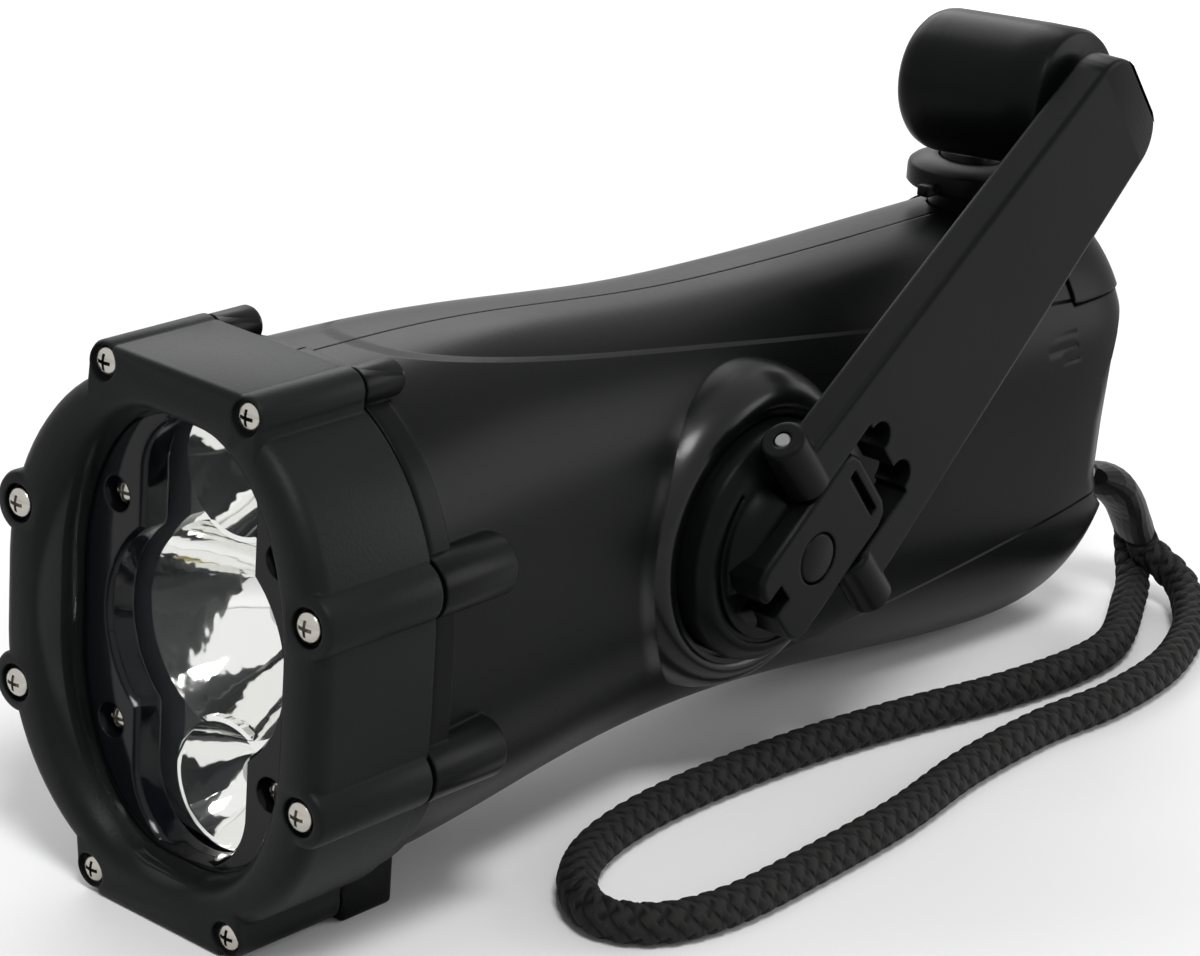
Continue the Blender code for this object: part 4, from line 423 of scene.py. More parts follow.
def draw_out(places):
    """Extrudes the end face along the light through places: x, half width, top and bottom."""
    for (x0, w0, t0, b0), (x, w, t, b) in zip(places, places[1:]):
        middle = spot(x, 0, (t - b) / 2)
        bpy.ops.mesh.extrude_region_move(
            TRANSFORM_OT_translate={'value': middle - spot(x0, 0, (t0 - b0) / 2)})
        bpy.ops.transform.resize(value=(1, w / w0, (t + b) / (t0 + b0)), center_override=middle)


def drawn(name, places, steps):
    """A rounded section drawn out along the light through places, and closed."""
    section(name, *places[0], steps)
    draw_out(places)
    return end()


def centred(rings):
    """Places for a drawn piece that reaches as far below the light's axis as above it."""
    return [(x, wide, high, high) for x, wide, high in rings]


def turned(name, place, way, rings, around=72):
    """A disc drawn out along way through rings: distance and radius in millimetres."""
    way = Vector(way).normalized()
    along, radius = rings[0]
    begin(name, bpy.ops.mesh.primitive_circle_add, vertices=around, radius=radius / 1000,
          fill_type='NGON', location=place + way * along / 1000,
          rotation=way.to_track_quat('Z', 'Y').to_euler())
    for now, size in rings[1:]:
        bpy.ops.mesh.extrude_region_move(
            TRANSFORM_OT_translate={'value': way * (now - along) / 1000})
        bpy.ops.transform.resize(value=(size / radius,) * 3,
                                 center_override=place + way * now / 1000)
        along, radius = now, size
    return end()


def rod(name, place, way, start, stop, radius, around=72):
    """A plain cylinder along way, from start to stop, in millimetres."""
    return turned(name, place, way, [(start, radius), (stop, radius)], around)


def block(name, low, high, bevel=0.0):
    """A block between two corners, given in millimetres, with its edges rounded."""
    low, high = spot(*low), spot(*high)
    begin(name, bpy.ops.mesh.primitive_cube_add, size=1, location=(low + high) / 2)
    bpy.ops.transform.resize(value=high - low, center_override=(low + high) / 2)
    if bevel:
        bpy.ops.mesh.bevel(offset=bevel / 1000, segments=3, affect='EDGES')
    return end()


to_tail, to_near, upward = Vector((1, 0, 0)), Vector((0, -1, 0)), Vector((0, 0, 1))
near, past_tail, past_top = -30, 191, 40    # just outside the casing, in millimetres
hub_x, hub_z, dial_x = 91.5, 0.5, 169
hub, dial_place = spot(hub_x, 0, hub_z), spot(dial_x, 0, 0)
side_screws = [(y, z) for y in (-27.0, 27.0) for z in (-12.9, 12.9)]
pad_screws = [(y, z) for y in (-13.1, 13.1) for z in (-36.0, 36.0)]

# The outline's rows: a share of the way to the tail, then shares of the half width, of the
# height above the light's axis and of the depth below it, which is where it stands.
body_front, body_length = 18.3, 169.7
half_width, half_height, stand = 29.2, 36.8, 39.4
body_shares = ((0, 1, 1, .920), (.0025, 1, 1, .920), (.0230, 1, 1, .920),
               (.0255, 1, 1, .920), (.0265, .997, .999, .9195), (.0300, .948, .981, .9085),
               (.0312, .945, .980, .908), (.069, .925, .980, .908), (.157, .867, .973, .885),
               (.246, .818, .940, .840), (.340, .781, .891, .810), (.434, .764, .848, .805),
               (.540, .760, .829, .833), (.658, .774, .821, .895), (.776, .795, .823, .960),
               (.864, .812, .821, .995), (.906, .818, .822, 1), (.947, .815, .820, .983),
               (.976, .790, .800, .930), (.994, .742, .760, .850), (1, .698, .720, .805))
outline = [(body_front + share * body_length, half_width * wide, half_height * top, stand * low)
           for share, wide, top, low in body_shares]
body = section('body', *outline[0], 8)
draw_out(outline)
x, wide, top, low = outline[-1]
for share in (0.9, 0.5):
    bpy.ops.mesh.extrude_region_move(TRANSFORM_OT_translate={'value': (0, 0, 0)})
    bpy.ops.transform.resize(value=(1, share, share), center_override=spot(x, 0, (top - low) / 2))
pick(lambda face: face.normal.x < -0.9 and len(face.verts) > 8)
for hold in (0.0004, 0.010):
    bpy.ops.mesh.inset(thickness=hold)
end()
bpy.ops.object.modifier_add(type='SUBSURF')
body.modifiers[-1].levels = body.modifiers[-1].render_levels = 2
bpy.ops.object.modifier_apply(modifier=body.modifiers[-1].name)
cover = copy_of(body, 'tail_corner_cover')

# What stands out from it: the foot, the bosses behind the bezel's screws and the crank's ring.
foot_half, foot_back, foot_top = 15.7, 28.0, -24.0
foot = block('foot', (body_front, -foot_half, -stand), (foot_back, foot_half, foot_top),
             bevel=0.8)
combine(body, foot, 'UNION')
for screws, radius, length in ((side_screws, 4.4, 32.0), (pad_screws, 2.6, 25.5)):
    for y, z in screws:
        boss = turned('boss', spot(0, y, z), to_tail,
                      [(body_front, radius), (length - 0.7, radius),
                       (length - 0.2, radius - 0.25), (length, radius - 0.7)], 40)
        combine(body, boss, 'UNION')
ring = turned('ring', hub, to_near,
              [(14.0, 24.4), (19.4, 24.0), (21.2, 23.3), (22.4, 22.6), (23.3, 21.9), (23.9, 21.2),
               (24.2, 20.5), (24.3, 19.9), (24.2, 19.3), (23.9, 18.9)], 112)
combine(body, ring, 'UNION')

# What is cut away: the room inside, the crank disc's pocket and the bore for its shaft,
# three grip grooves, the strap pin's pocket, the dial's hole and the corner cover's place.
wall = 2.4
mouth_half = (21.6, 31.8)
inside = centred([(body_front - 2, *mouth_half), (body_front + 16, *mouth_half)])
inside += [(x, wide - wall, top - wall, low - wall) for x, wide, top, low in outline
           if body_front + 21 < x < 178]
combine(body, drawn('inside', inside, 6))
combine(body, rod('pocket', hub, to_near, start=22.5, stop=-near, radius=18.2, around=112))
combine(body, rod('shaft bore', hub, to_near, start=10, stop=-near, radius=6.1))
groove_front, groove_back, groove_wide = 156.5, 171.5, 0.9
for z, floor in ((14.0, -21.4), (11.9, -22.0), (9.8, -22.6)):
    combine(body, block('grip groove', (groove_front, near, z),
                        (groove_back, floor, z + groove_wide), bevel=0.35))
combine(body, block('pin pocket', (177.2, -19.5, -18.0), (190, -11.5, -6.0), bevel=0.8))
dial_hole = 6.6
combine(body, rod('dial hole', dial_place, upward, start=18, stop=past_top, radius=dial_hole))
cover_front, cover_foot, cover_gap = 172.0, 17.7, 0.3
combine(body, block('cover place', (cover_front, near, cover_foot),
                    (past_tail, -near, past_top)))

# The thumb hollow in the tail: half its section from the middle outwards, as shares of the
# half width and of its fall towards the sides, and its depth at shares of its height.
hollow_top, hollow_height = 17.4, 37.9
hollow_back, hollow_depth, side_fall = 188.3, 7.1, 10.5
half_section = [(0, 0), (.66, 0), (.74, .08), (.78, .20), (.81, .45), (.84, 1)]
depths = ((0, 0), (.05, .24), (.14, .60), (.25, .82), (.50, .95), (.74, 1), (.86, .80),
          (.94, .42), (1, 0))
rows = []
for down, deep in depths:
    back = hollow_back - hollow_depth * deep
    row = [(back - side_fall * fall, half_width * share) for share, fall in half_section]
    row += [(back - side_fall, half_width), (past_tail, half_width)]
    row += [(x, -y) for x, y in reversed(row[1:])]
    rows.append([spot(x, y, hollow_top - hollow_height * down) for x, y in row])
combine(body, skin('thumb hollow', rows))


def satin(name, creased=False):
    """Satin black moulded plastic, on the casing with its crease, its ledge and a glossier ring."""
    made = Finish(name, Specular_IOR_Level=0.065, Coat_Roughness=0.22, Coat_IOR=1.4)
    grain, wear = made.noise(size=0.0009, detail=3.0), made.noise(size=0.03, detail=4.0)
    shaped = made.soft_edges(radius=0.0006)
    if creased:
        x, y, z = made.place()
        along, height = (x - (screw_plane.x + 0.030)) * 1000, (z - screw_plane.z) * 1000
        crease_line = 36.2 - 0.18 * along + 0.0004 * along * along
        ledge_line = -35.9 + 0.148 * along
        crease = (height - crease_line).step(-0.35, 0.25)
        ledge = (height - ledge_line).step(-0.35, 0.25) * along.step(72, 92)
        shaped = made.bump((1 - crease) + ledge * 0.7, distance=0.0007, over=shaped)
        off_x, off_z = (x - hub.x) * 1000, (z - hub.z) * 1000
        ring_edge = (560, 680)    # squares of the way from the hub, in square millimetres
        ring_foot = (-0.021, -0.019)
        on_ring = 1 - (off_x * off_x + off_z * off_z).step(*ring_edge)
        on_ring = on_ring * (1 - (y - screw_plane.y).step(*ring_foot))
        made.feed(made.shader, {'Coat Weight': on_ring * (0.35 + wear * 0.3)})
    made.bump(grain, distance=0.000012, over=shaped)
    made.feed(made.shader, {
        'Base Color': made.mix(wear.step(0.35, 0.75), (0.0020, 0.0024, 0.0023),
                               (0.0034, 0.0040, 0.0036)),
        'Roughness': 0.26 + wear * 0.08 + grain * 0.04})
    return made


creased = satin('creased_satin_black', True)
casing = satin('satin_black')
pan_height = 1.6    # of a screw's head, in millimetres
well_radius, well_length = 2.5, 12
seam = 0.12    # half the gap between the halves, in millimetres
body_far = copy_of(body, 'casing_half_far')
for number in range(1, 5):
    low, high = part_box(f'case_screw_{number}')
    under_head = Vector(((low.x + high.x) / 2, high.y - pan_height / 1000, (low.z + high.z) / 2))
    combine(body_far, rod('screw well', under_head, -to_near, 0, well_length, well_radius, 40))
for shell, way, node in ((body, 1, 'body_shell_near'), (body_far, -1, 'body_shell_far')):
    only(shell)
    bpy.ops.object.mode_set(mode='EDIT')
    bpy.ops.mesh.select_all(action='SELECT')
    bpy.ops.mesh.bisect(plane_co=spot(0, -seam * way, 0), plane_no=(0, way, 0), use_fill=True,
                        clear_outer=True)
    bpy.ops.object.mode_set(mode='OBJECT')
    smooth(shell)
    creased.paint(shell, 'casing')
    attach(shell, 'light_body')
    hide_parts(node)
body.name = 'casing_half_near'


# The corner cover closes the casing's rear corner, under the back of the dial, in the same
# plastic. It is cut from the casing's own form and stands a little proud of the halves.
cover_proud = 0.00045
combine(cover, block('window', (cover_front + cover_gap, near, cover_foot + cover_gap),
                     (past_tail, -near, past_top), bevel=0.9), 'INTERSECT')
combine(cover, rod('dial hole', dial_place, upward, start=10, stop=past_top, radius=dial_hole))
bpy.ops.object.mode_set(mode='EDIT')
pick(lambda face: face.normal.z > -0.9 and face.normal.x > -0.9)
bpy.ops.transform.shrink_fatten(value=cover_proud)
bpy.ops.object.mode_set(mode='OBJECT')
smooth(cover)
casing.paint(cover, 'casing')
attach(cover, 'light_body')
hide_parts('tail_cover')


# The bezel: a thick guard ring in matte black plastic. It has a flat pad above and below,
# a boss for each of its eight screws, and a smooth dish that leads in to the lens.
bezel_front, bezel_back = -2.6, 18.0
pad_half, shoulder_half, shoulder_top, pad_depth = 12.1, 15.7, 36.0, 8.0
bezel = drawn('bezel_ring', centred([
    (bezel_front, 27.7, 34.5), (-2.35, 28.5, 35.2), (-1.7, 29.3, 36.0), (-0.8, 29.8, 36.45),
    (0.3, 30.0, 36.6), (bezel_back, 30.0, 36.6)]), 20)
for level, pad_top in ((1, 38.6), (-1, stand)):
    for name, half, reach, bevel in (('pad', pad_half, pad_top, 0.8),
                                     ('shoulder', shoulder_half, shoulder_top, 0.5)):
        low, high = sorted((level * (pad_top - pad_depth), level * reach))
        combine(bezel, block(name, (bezel_front, -half, low), (bezel_back, half, high), bevel),
                'UNION')
for screws, radius in ((side_screws, 4.4), (pad_screws, 2.9)):
    for y, z in screws:
        boss = turned('boss', spot(0, y, z), to_tail,
                      [(bezel_front, radius - 0.8), (-2.4, radius - 0.3), (-1.9, radius),
                       (17.4, radius), (bezel_back, radius - 0.5)], 40)
        combine(bezel, boss, 'UNION')
dish = drawn('dish', centred([
    (-4.6, 25.2, 35.2), (bezel_front, 23.9, 33.5), (-2.2, 23.1, 32.7), (-1.0, 22.1, 31.9),
    (0.9, 21.2, 31.3), (3.0, 20.7, 31.0), (6.0, 20.6, 30.9)]), 20)
combine(bezel, dish)

# The front bows back towards the pads, and is triangulated after it is bent. The chamber
# for the lens and the rooms for the screw heads are cut straight.
bow = 0.0022
for point in bezel.data.vertices:
    share = (bezel_back - (point.co.x - screw_plane.x) * 1000) / (bezel_back - bezel_front)
    point.co.x += bow * share * ((point.co.z - screw_plane.z) * 1000 / stand) ** 2
bpy.ops.object.mode_set(mode='EDIT')
bpy.ops.mesh.select_all(action='SELECT')
bpy.ops.mesh.remove_doubles(threshold=0.00001)
bpy.ops.mesh.quads_convert_to_tris()
bpy.ops.object.mode_set(mode='OBJECT')
chamber_half = (23.5, 33.0)
combine(bezel, drawn('chamber', centred([(3.9, *chamber_half), (20, *chamber_half)]), 16))
for screws, radius, floor in ((side_screws, 2.7, -1.0), (pad_screws, 2.45, 0.2)):
    for y, z in screws:
        combine(bezel, rod('head room', spot(0, y, z), to_tail, -6.3, floor, radius, 46))
smooth(bezel)

# Inside the dish the same plastic is glossier than on the guard.
moulded = Finish('matte_black', Specular_IOR_Level=0.11, Coat_Roughness=0.1, Coat_IOR=1.3)
grain, wear = moulded.noise(size=0.0005, detail=3.0), moulded.noise(size=0.02, detail=4.0)
moulded.bump(grain, distance=0.00003, over=moulded.soft_edges(radius=0.0006))
x, y, z = moulded.place()
dish_half, dish_height = 23.2, 32.8
side, rise = (y - screw_plane.y) * (1000 / dish_half), (z - screw_plane.z) * (1000 / dish_height)
in_dish = 1 - (side * side + rise * rise).step(0.95, 1.02)
moulded.feed(moulded.shader, {
    'Base Color': moulded.mix(wear.step(0.3, 0.8), (0.0032, 0.0038, 0.0038),
                              (0.0056, 0.0064, 0.0064)),
    'Roughness': 0.36 + grain * 0.1 + wear * 0.06,
    'Coat Weight': in_dish * (1 - (x - screw_plane.x).step(0.006, 0.0061)) * 0.8})
moulded.paint(bezel, 'bezel')
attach(bezel, 'light_body')
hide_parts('bezel')


# The bezel's eight screws: nickel-plated pan heads with a cross recess, on short shanks.
# Each stands where the CAD has its screw, in a room of its own in the bezel.
nickel = Finish('bright_nickel', Base_Color=(0.46, 0.44, 0.40), Metallic=1.0)
nickel.feed(nickel.shader, {'Roughness': 0.16 + nickel.noise(size=0.0004, detail=3.0) * 0.14})
nickel.bump(nickel.noise(size=0.0003, detail=2.0), distance=0.000006,
            over=nickel.soft_edges(radius=0.00012))
shank_radius, shank_length = 1.1, 5.0
pan_dome = ((0, 1), (0.35, 1), (0.7, 0.96), (1.0, 0.86), (1.28, 0.68), (1.46, 0.46), (1.57, 0.24),
            (pan_height, 0.1))    # height in millimetres, and share of the radius
recess_long, recess_wide, recess_floor, past_head = 2.3, 0.5, 0.6, 3.0


def screw_head(name, node, y, z, radius):
    """A cross-recessed pan head on its shank, in place of a CAD screw along the light."""
    x = (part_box(node)[0].x - screw_plane.x) * 1000 + pan_height
    rings = [(-shank_length, shank_radius), (0, shank_radius)]
    rings += [(height, radius * share) for height, share in pan_dome]
    head = turned(name, spot(x, y, z), -to_tail, rings, around=40)
    for wide, tall in ((recess_long, recess_wide), (recess_wide, recess_long)):
        combine(head, block('slot', (x - past_head, y - wide / 2, z - tall / 2),
                            (x - recess_floor, y + wide / 2, z + tall / 2)))
    smooth(head, 30)
    nickel.paint(head, 'nickel')
    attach(head, 'light_body')
    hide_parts(node)


for number, (y, z) in enumerate(pad_screws + side_screws, 1):
    screw_head(f'bezel_pan_screw_{number}', f'bezel_screw_{number}', y, z, 2.2)


# Inside the dish: a glossy black plate with a window for the reflectors, held by four small
# screws and set on a rubber ring, and behind it the clear lens.
gloss = Finish('gloss_black', Base_Color=(0.004, 0.0045, 0.006), Roughness=0.08,
               Specular_IOR_Level=0.2)
gloss.feed(gloss.shader, {'Normal': gloss.soft_edges(radius=0.0004)})
unit_half = (23.2, 32.7)
plate_half, plate_front, plate_back = (21.0, 30.5), 4.3, 7.1
frame_plate = drawn('lens_window_frame', centred([
    (plate_front, *plate_half), (plate_back, *plate_half), (plate_back, *unit_half),
    (8.7, *unit_half)]), 16)
window = turned('window', spot(0, 0, 0), to_tail,
                [(3, 17.2), (4.6, 16.9), (5.2, 16.4), (10, 16.2)], 96)
stadium = turned('stadium', spot(0, 0, 0), to_tail,
                 [(3, 11.2), (4.6, 10.9), (5.2, 10.4), (10, 10.2)], 64)
lobe_reach = 0.0206
bpy.ops.object.mode_set(mode='EDIT')
for way in (1, -1):
    pick(lambda vert: (vert.co.z - screw_plane.z) * way > 0.000001, 'verts')
    bpy.ops.transform.translate(value=(0, 0, lobe_reach * way))
end()
combine(window, stadium, 'UNION')
combine(frame_plate, window)
for y, z in [(15.2 * side, 16.2 * level) for side in (-1, 1) for level in (-1, 1)]:
    combine(frame_plate, turned('screw room', spot(0, y, z), to_tail, [(2, 2.6), (6.8, 2.3)], 40))
smooth(frame_plate)
gloss.paint(frame_plate, 'gloss')
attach(frame_plate, 'light_body')
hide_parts('lens_frame')
for number in range(1, 5):
    low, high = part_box(f'frame_screw_{number}')
    y, z = ((low + high) / 2 - screw_plane).yz * 1000
    screw_head(f'frame_pan_screw_{number}', f'frame_screw_{number}', y, z, 1.9)
clear = Finish('clear_lens', Base_Color=(0.30, 0.33, 0.35), Roughness=0.03, Alpha=0.035)
clear.paint(cad_pieces['lens'])
rubber.paint(cad_pieces['front_seal'])


# The reflector unit: three bright bowls in one chromed moulding, one large and two small,
# each with its light-emitting diode.
chrome = Finish('chrome', Base_Color=(0.93, 0.93, 0.91), Metallic=1.0)
chrome.feed(chrome.shader, {'Roughness': 0.035 + chrome.noise(size=0.004, detail=3.0) * 0.03})
chrome.bump(chrome.noise(size=0.005, detail=2.0), distance=0.00010)
unit_front, small_bowl_z = 10.8, 22.4
unit = drawn('reflector_bowls', centred([(x, *unit_half) for x in (unit_front, 12.3, 17.6)]), 16)
bowl_steps = 16
for z, radius, back, depth in ((0, 15.0, 3.4, 14.0), (small_bowl_z, 9.0, 2.9, 9.0),
                               (-small_bowl_z, 9.0, 2.9, 9.0)):
    rings = [(-2.0, radius)]
    for k in range(bowl_steps + 1):
        share = k / bowl_steps
        rings.append((depth * share, math.sqrt(radius ** 2 - (radius ** 2 - back ** 2) * share)))
    outer = [(0.3, radius + 0.6)] + [(along + 0.8, size + 0.9) for along, size in rings[2:]]
    combine(unit, turned('bowl', spot(unit_front, 0, z), to_tail, outer, 96), 'UNION')
    rings.append((depth + 2.0, back))
    combine(unit, turned('hollow', spot(unit_front, 0, z), to_tail, rings, 96))
smooth(unit, 25)
chrome.paint(unit, 'chrome')
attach(unit, 'light_body')
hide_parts('reflector_unit')

# A lamp is clear resin with a domed end, and the yellow of its chip shows at its foot.
resin = Finish('lamp_resin', Roughness=0.06)
x, y, z = resin.place()
chip = (x - (screw_plane.x + 0.0215)).step(0.0, 0.0015)
resin.feed(resin.shader, {'Base Color': resin.mix(chip, (0.86, 0.87, 0.84), (0.85, 0.72, 0.18))})
dome_steps = 8
for node, z, radius in (('led_middle', 0, 3.0), ('led_upper', small_bowl_z, 2.5),
                        ('led_lower', -small_bowl_z, 2.5)):
    low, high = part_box(node)
    front, foot = (low.x - screw_plane.x) * 1000, (high.x - screw_plane.x) * 1000
    dome = [(front - foot, 0.1)]
    for k in range(1, dome_steps + 1):
        angle = math.pi / 2 * k / dome_steps
        dome.append((front - foot + radius * (1 - math.cos(angle)), radius * math.sin(angle)))
    dome.append((0, radius))
    lamp = turned('lamp_' + node[4:], spot(foot, 0, z), to_tail, dome, 40)
    resin.paint(lamp, 'led')
    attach(lamp, 'light_body')
    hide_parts(node)


# The crank's hub: a moulded disc in the casing's raised ring, with a C-shaped groove round
# it, the end of the steel shaft, and a notched plate that carries the hinge pin.
arm_angle = math.radians(39.5)
outside, disc_face = -36, -28.35    # in front of the crank, and the floor of its rooms
disc = turned('hub_disc', hub, to_near,
              [(22.9, 17.6), (26.3, 17.6), (26.9, 17.45), (27.9, 16.3), (28.2, 15.8),
               (28.3, 15.2), (28.4, 12.4), (29.0, 11.9), (30.1, 11.2), (31.0, 10.0),
               (31.6, 8.0)], 112)
knuckle_start, knuckle_end = 7.95, 22.0    # of a knuckle's room, off the hub's middle
past_disc = 112
for side in (-1, 1):
    low, high = sorted((hub_z + knuckle_start * side, hub_z + knuckle_end * side))
    combine(disc, block('knuckle room', (93.6, outside, low), (past_disc, disc_face, high),
                        bevel=0.2))
combine(disc, block('arm room', (102.0, outside, -12), (past_disc, disc_face, 13), bevel=0.2))
combine(disc, block('notch room', (79, outside, 0.5), (84.3, disc_face, 4.3), bevel=0.2))
groove = rod('groove', hub, to_near, start=27.5, stop=29, radius=14.6, around=96)
combine(groove, rod('core', hub, to_near, start=27, stop=30, radius=13.7, around=96))
combine(groove, block('open side', (90.0, -31, -20), (past_disc, -26, 21)))
combine(disc, groove)
smooth(disc, 30)

plate = block('hub_hinge_plate', (80.5, -34.6, -7.5), (106.1, -28.6, 8.5))
bpy.ops.object.mode_set(mode='EDIT')
pick(lambda edge: abs((edge.verts[0].co - edge.verts[1].co).y) > 0.005, 'edges')
bpy.ops.mesh.bevel(offset=0.003, segments=2, affect='EDGES')
pick(lambda edge: max(vert.co.y for vert in edge.verts) < -0.0325 + screw_plane.y, 'edges')
bpy.ops.mesh.bevel(offset=0.0007, segments=3, affect='EDGES')
end()
combine(plate, block('notch', (79, outside, 0.5), (84.1, -27, 4.1), bevel=0.3))
combine(plate, block('slot', (102.7, outside, -4.2), (104.3, -32.6, 5.2), bevel=0.3))
shaft = turned('crank_shaft_end', hub, to_near,
               [(9.9, 3.7), (34.2, 3.7), (34.5, 3.5), (34.6, 3.2)], 48)
combine(plate, rod('bore', hub, to_near, start=27, stop=-outside, radius=3.95, around=48))
smooth(plate, 30)
turned_steel = Finish('turned_steel', Base_Color=(0.20, 0.20, 0.20), Metallic=1.0)
marks = turned_steel.noise(size=0.0006, detail=3.0)
turned_steel.feed(turned_steel.shader, {'Roughness': 0.30 + marks * 0.25})
turned_steel.bump(marks, distance=0.00002)


def swing(thing):
    """Turns a piece that was modelled level about the hub, to the arm's place at rest."""
    thing.matrix_world = (Matrix.Translation(hub) @ Matrix.Rotation(-arm_angle, 4, 'Y')
                          @ Matrix.Translation(-hub) @ thing.matrix_world)
    only(thing)
    bpy.ops.object.transform_apply(location=True, rotation=True, scale=True)


def chamfered(start, stop, radius, edge):
    """Rings for a rod whose two ends are chamfered."""
    return [(start, radius - edge), (start + edge, radius),
            (stop - edge, radius), (stop, radius - edge)]


hinge = hub + Vector((0.0062, -0.0320, 0))
pin_half = 19.3
pin = turned('hinge_pin_steel', hinge, upward,
             chamfered(-pin_half, pin_half, radius=1.2, edge=0.2), 32)
for piece in (disc, plate, pin):
    swing(piece)
for piece, finish, slot, node in ((disc, casing, 'casing', 'crank_disc'),
                                  (plate, casing, 'casing', 'hub_plate'),
                                  (shaft, casing, 'steel', 'crank_shaft'),
                                  (pin, turned_steel, 'steel', 'hinge_pin')):
    finish.paint(piece, slot)
    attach(piece, 'crank')
    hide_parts(node)


# The folding arm: a flat tapered bar with a rounded tip. Two knuckles hold it on the hinge
# pin, and a window with two lobes leaves room for the hub plate.
arm_half, tip_half, tip_start, tip_corner, tip_steps = 15.3, 10.3, 84.2, 6.2, 10
arm_foot, arm_near, arm_far = 97.7, -34.8, -29.2
arm = block('folding_arm', (arm_foot, arm_near, hub_z - arm_half),
            (hub_x + tip_start, arm_far, hub_z + arm_half))
bpy.ops.object.mode_set(mode='EDIT')
pick(lambda vert: vert.co.x > hub.x + 0.04, 'verts')
bpy.ops.transform.resize(value=(1, 1, tip_half / arm_half), center_override=hub)
pick(lambda face: face.normal.x > 0.9)
last_x, last_half = tip_start, tip_half
for k in range(1, tip_steps + 1):
    angle = math.pi / 2 * k / tip_steps
    now_x = tip_start + tip_corner * math.sin(angle)
    now_half = tip_half - tip_corner + tip_corner * math.cos(angle)
    bpy.ops.mesh.extrude_region_move(
        TRANSFORM_OT_translate={'value': ((now_x - last_x) / 1000, 0, 0)})
    bpy.ops.transform.resize(value=(1, 1, now_half / last_half), center_override=hub)
    last_x, last_half = now_x, now_half
pick(lambda edge: len(edge.link_faces) == 2
     and sum(abs(face.normal.y) > 0.9 for face in edge.link_faces) == 1, 'edges')
bpy.ops.mesh.bevel(offset=0.0006, segments=3, affect='EDGES')
end()
combine(arm, block('window', (85, -37, -7.8), (110.1, -27, 8.8), bevel=0.3))
knuckle_gap = 8.6    # from the hub's middle to each knuckle
for side in (-1, 1):
    lobe_place = hub + Vector((0.0186, 0, 0.0046 * side))
    combine(arm, rod('lobe', lobe_place, to_near, start=27, stop=37, radius=2.6, around=40))
    low, high = sorted((knuckle_gap * side, pin_half * side))
    knuckle = turned('knuckle', hinge, upward, chamfered(low, high, radius=3.3, edge=0.4), 48)
    combine(arm, knuckle, 'UNION')
combine(arm, rod('pin hole', hinge, upward, start=-22, stop=22, radius=1.35, around=32))
smooth(arm, 30)
swing(arm)
casing.paint(arm, 'casing')
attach(arm, 'arm')
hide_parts('crank_arm')


# The knob turns freely on a steel spindle at the arm's tip. It is a smooth barrel that
# rounds over at its free end, and leans down by five degrees.
spindle = Vector((0.0834, 0.0029))    # along the arm from the hub and across it
lean = math.radians(5)
knob_foot = hub + Vector((spindle.x * math.cos(arm_angle) - spindle.y * math.sin(arm_angle),
                          arm_far / 1000,
                          spindle.x * math.sin(arm_angle) + spindle.y * math.cos(arm_angle)))
knob_way = Vector((0, math.cos(lean), -math.sin(lean)))
knob = turned('turning_knob', knob_foot, knob_way,
              [(1.3, 9.6), (1.5, 10.1), (2.4, 10.6), (8.0, 10.8), (14.0, 10.85), (21.9, 10.9),
               (24.4, 10.9), (25.5, 10.75), (26.4, 10.4), (27.1, 9.8), (27.5, 9.1), (27.7, 8.2)],
              96)
combine(knob, rod('bore', knob_foot, knob_way, start=-2, stop=23.4, radius=2.6, around=40))
smooth(knob, 40)
casing.paint(knob, 'casing')
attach(knob, 'knob')
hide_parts('crank_knob')
turned_steel.paint(cad_pieces['knob_spindle'])


# The selector dial on top of the tail, and the ribbed push button in its middle. The dial
# is a black plastic cap with a pointer at its edge, over a stem in the casing's hole.
dial = turned('selector_dial_cap', dial_place, upward,
              [(24.0, 6.2), (33.4, 6.2), (33.4, 9.7), (33.7, 10.0), (36.0, 10.0), (36.6, 9.8),
               (37.1, 9.2), (37.6, 8.0), (37.9, 6.6), (38.0, 5.9), (38.0, 5.4), (34.4, 5.4)], 96)
pointer = block('pointer', (156.4, -1.1, 33.4), (160.6, 1.1, 35.2), bevel=0.35)
combine(dial, pointer, 'UNION')
smooth(dial, 30)
casing.paint(dial, 'casing')
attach(dial, 'selector')
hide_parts('selector_dial')
button_face, rib_pitch, rib_half = 38.6, 2.1, 0.4
button = turned('ribbed_button', dial_place, upward,
                [(36.1, 5.0), (button_face, 5.0), (39.0, 4.8), (39.2, 4.4)], 64)
for number in (-1, 0, 1):
    middle = dial_x + rib_pitch * number
    combine(button, block('rib', (middle - rib_half, -6, button_face),
                          (middle + rib_half, 6, 41), bevel=0.15))
smooth(button, 30)
moulded.paint(button, 'gloss')
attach(button, 'button')
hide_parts('push_button')


# What is inside, all from the CAD: white nylon gears, the dynamo's steel and copper, the
# cells in their sleeves, the boards and the switch.
nylon = Finish('white_nylon', Base_Color=(0.78, 0.78, 0.74), Roughness=0.45)
nylon.bump(nylon.noise(size=0.0005, detail=2.0), distance=0.00003)
copper = Finish('wound_copper', Metallic=1.0, Roughness=0.35)
x, y, z = copper.place()
windings = (y * 18000).sine()
# The colour is painted shade: darker copper in the grooves between the turns, where the windings'
# bump dips.
copper.feed(copper.shader, {
    'Base Color': copper.mix(windings.step(-0.5, 0.5), (0.35, 0.12, 0.05), (0.78, 0.36, 0.2))})
copper.bump(windings, distance=0.0001)
sleeved = Finish('cell_sleeve', Roughness=0.3)
x, y, z = sleeved.place()
band = (x - (screw_plane.x + 0.066)).step(0, 0.0004)
sleeved.feed(sleeved.shader, {
    'Base Color': sleeved.mix(band, (0.02, 0.10, 0.06), (0.55, 0.42, 0.12))})
board = Finish('board_green', Roughness=0.4)
tracks = board.noise(size=0.002, detail=1.0, squeeze=(1, 6, 1)).step(0.49, 0.52)
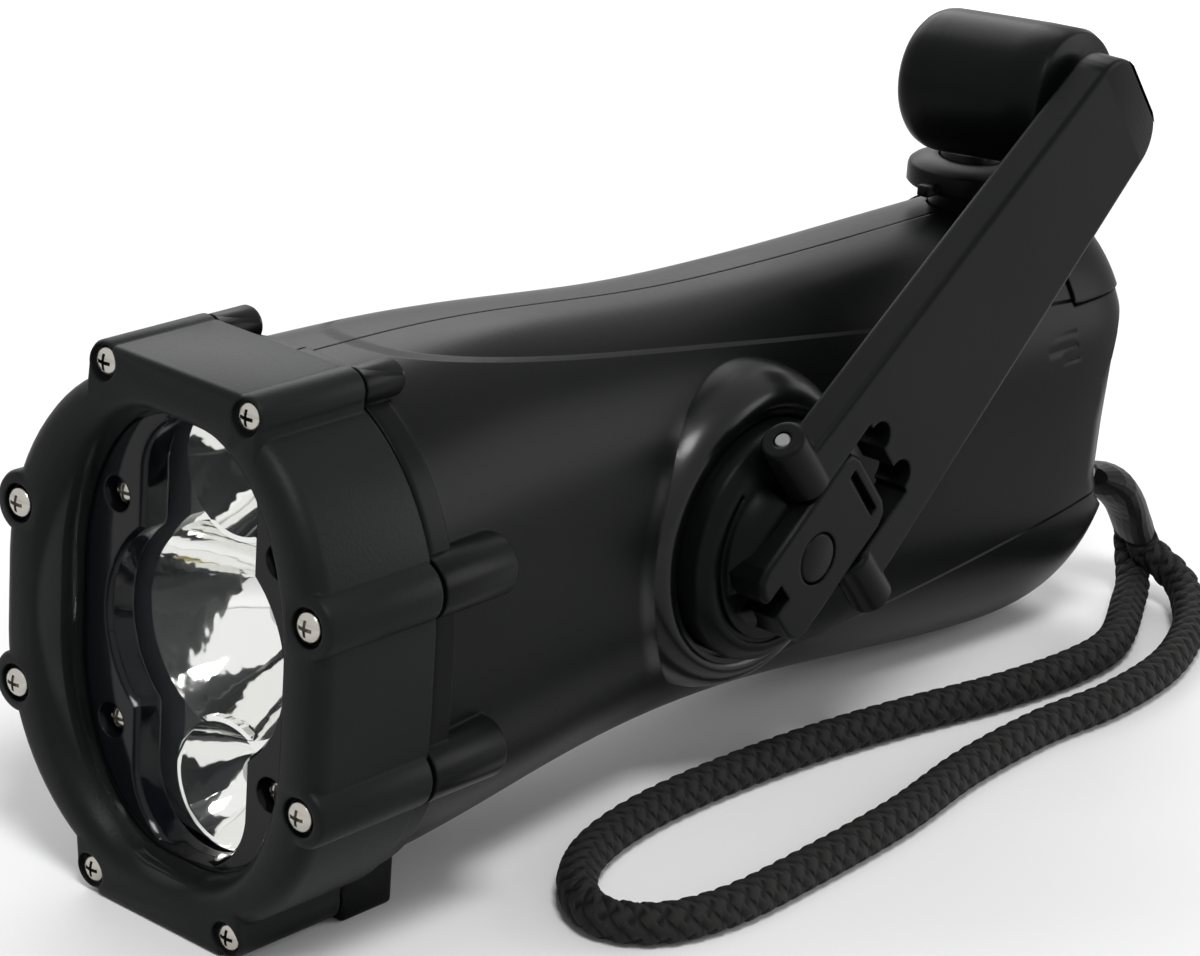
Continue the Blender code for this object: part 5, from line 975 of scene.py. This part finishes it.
board.feed(board.shader, {
    'Base Color': board.mix(tracks, (0.008, 0.07, 0.03), (0.02, 0.15, 0.06))})
board.bump(tracks, distance=0.00005)
for finish, nodes in ((nylon, ('crank_gear', 'middle_gear')),
                      (copper, ('dynamo_stator',)),
                      (sleeved, ('battery_cell_1', 'battery_cell_2', 'battery_cell_3')),
                      (board, ('led_board', 'control_board')),
                      (moulded, ('battery_holder', 'gear_carrier', 'switch_unit')),
                      (nickel, ('battery_contact_plate', 'case_screw_1', 'case_screw_2',
                                'case_screw_3', 'case_screw_4')),
                      (turned_steel, ('shaft_bush', 'middle_axle', 'dynamo_rotor', 'strap_pin'))):
    for node in nodes:
        finish.paint(cad_pieces[node])


# The floor: a pale ground that keeps the light's shadow. Far out it glows for the camera
# alone, so that it meets the white sky without an edge.
bpy.ops.mesh.primitive_plane_add(size=4)
floor = bpy.context.object
floor.name = 'floor'
ground = Finish('pale_ground', Base_Color=(0.9, 0.9, 0.9), Roughness=0.9, Emission_Strength=1.0)
x, y, z = ground.place()
watched = Field(ground, ground.node('ShaderNodeLightPath').outputs['Is Camera Ray'])
far_out = (x * x + y * y).step(0.05, 0.6)
ground.feed(ground.shader, {
    'Emission Color': ground.mix(far_out * watched, (0, 0, 0), (1, 1, 1))})
ground.paint(floor)


# The studio: a sky that is white for the camera, in reflections and through the lens, and
# dimmer as a light, with three broad soft lamps.
sky_light = 0.37
world = bpy.data.worlds.new('studio')
bpy.context.scene.world = world
world.use_nodes = True
sky_nodes, wires = world.node_tree.nodes, world.node_tree.links
sky = sky_nodes['Background']
sky.inputs['Color'].default_value = (1, 1, 1, 1)
path = sky_nodes.new('ShaderNodeLightPath')
full_white = path.outputs['Is Camera Ray']
for ray in ('Is Glossy Ray', 'Is Transmission Ray'):
    either = sky_nodes.new('ShaderNodeMath')
    either.operation = 'MAXIMUM'
    wires.new(full_white, either.inputs[0])
    wires.new(path.outputs[ray], either.inputs[1])
    full_white = either.outputs[0]
level = sky_nodes.new('ShaderNodeMapRange')
level.inputs['To Min'].default_value = sky_light
wires.new(full_white, level.inputs['Value'])
wires.new(level.outputs[0], sky.inputs['Strength'])
for place, size, power in (((-0.38, -0.42, 0.95), 0.28, 6.5), ((0.75, -0.65, 0.35), 0.5, 3),
                           ((0.45, 0.70, 0.70), 0.8, 6)):
    bpy.ops.object.light_add(type='AREA', location=place)
    lamp = bpy.context.object
    lamp.data.size = size
    lamp.data.energy = power
    lamp.rotation_euler = (-Vector(place)).to_track_quat('-Z', 'Y').to_euler()


scene = bpy.context.scene
scene.view_settings.view_transform = 'Standard'
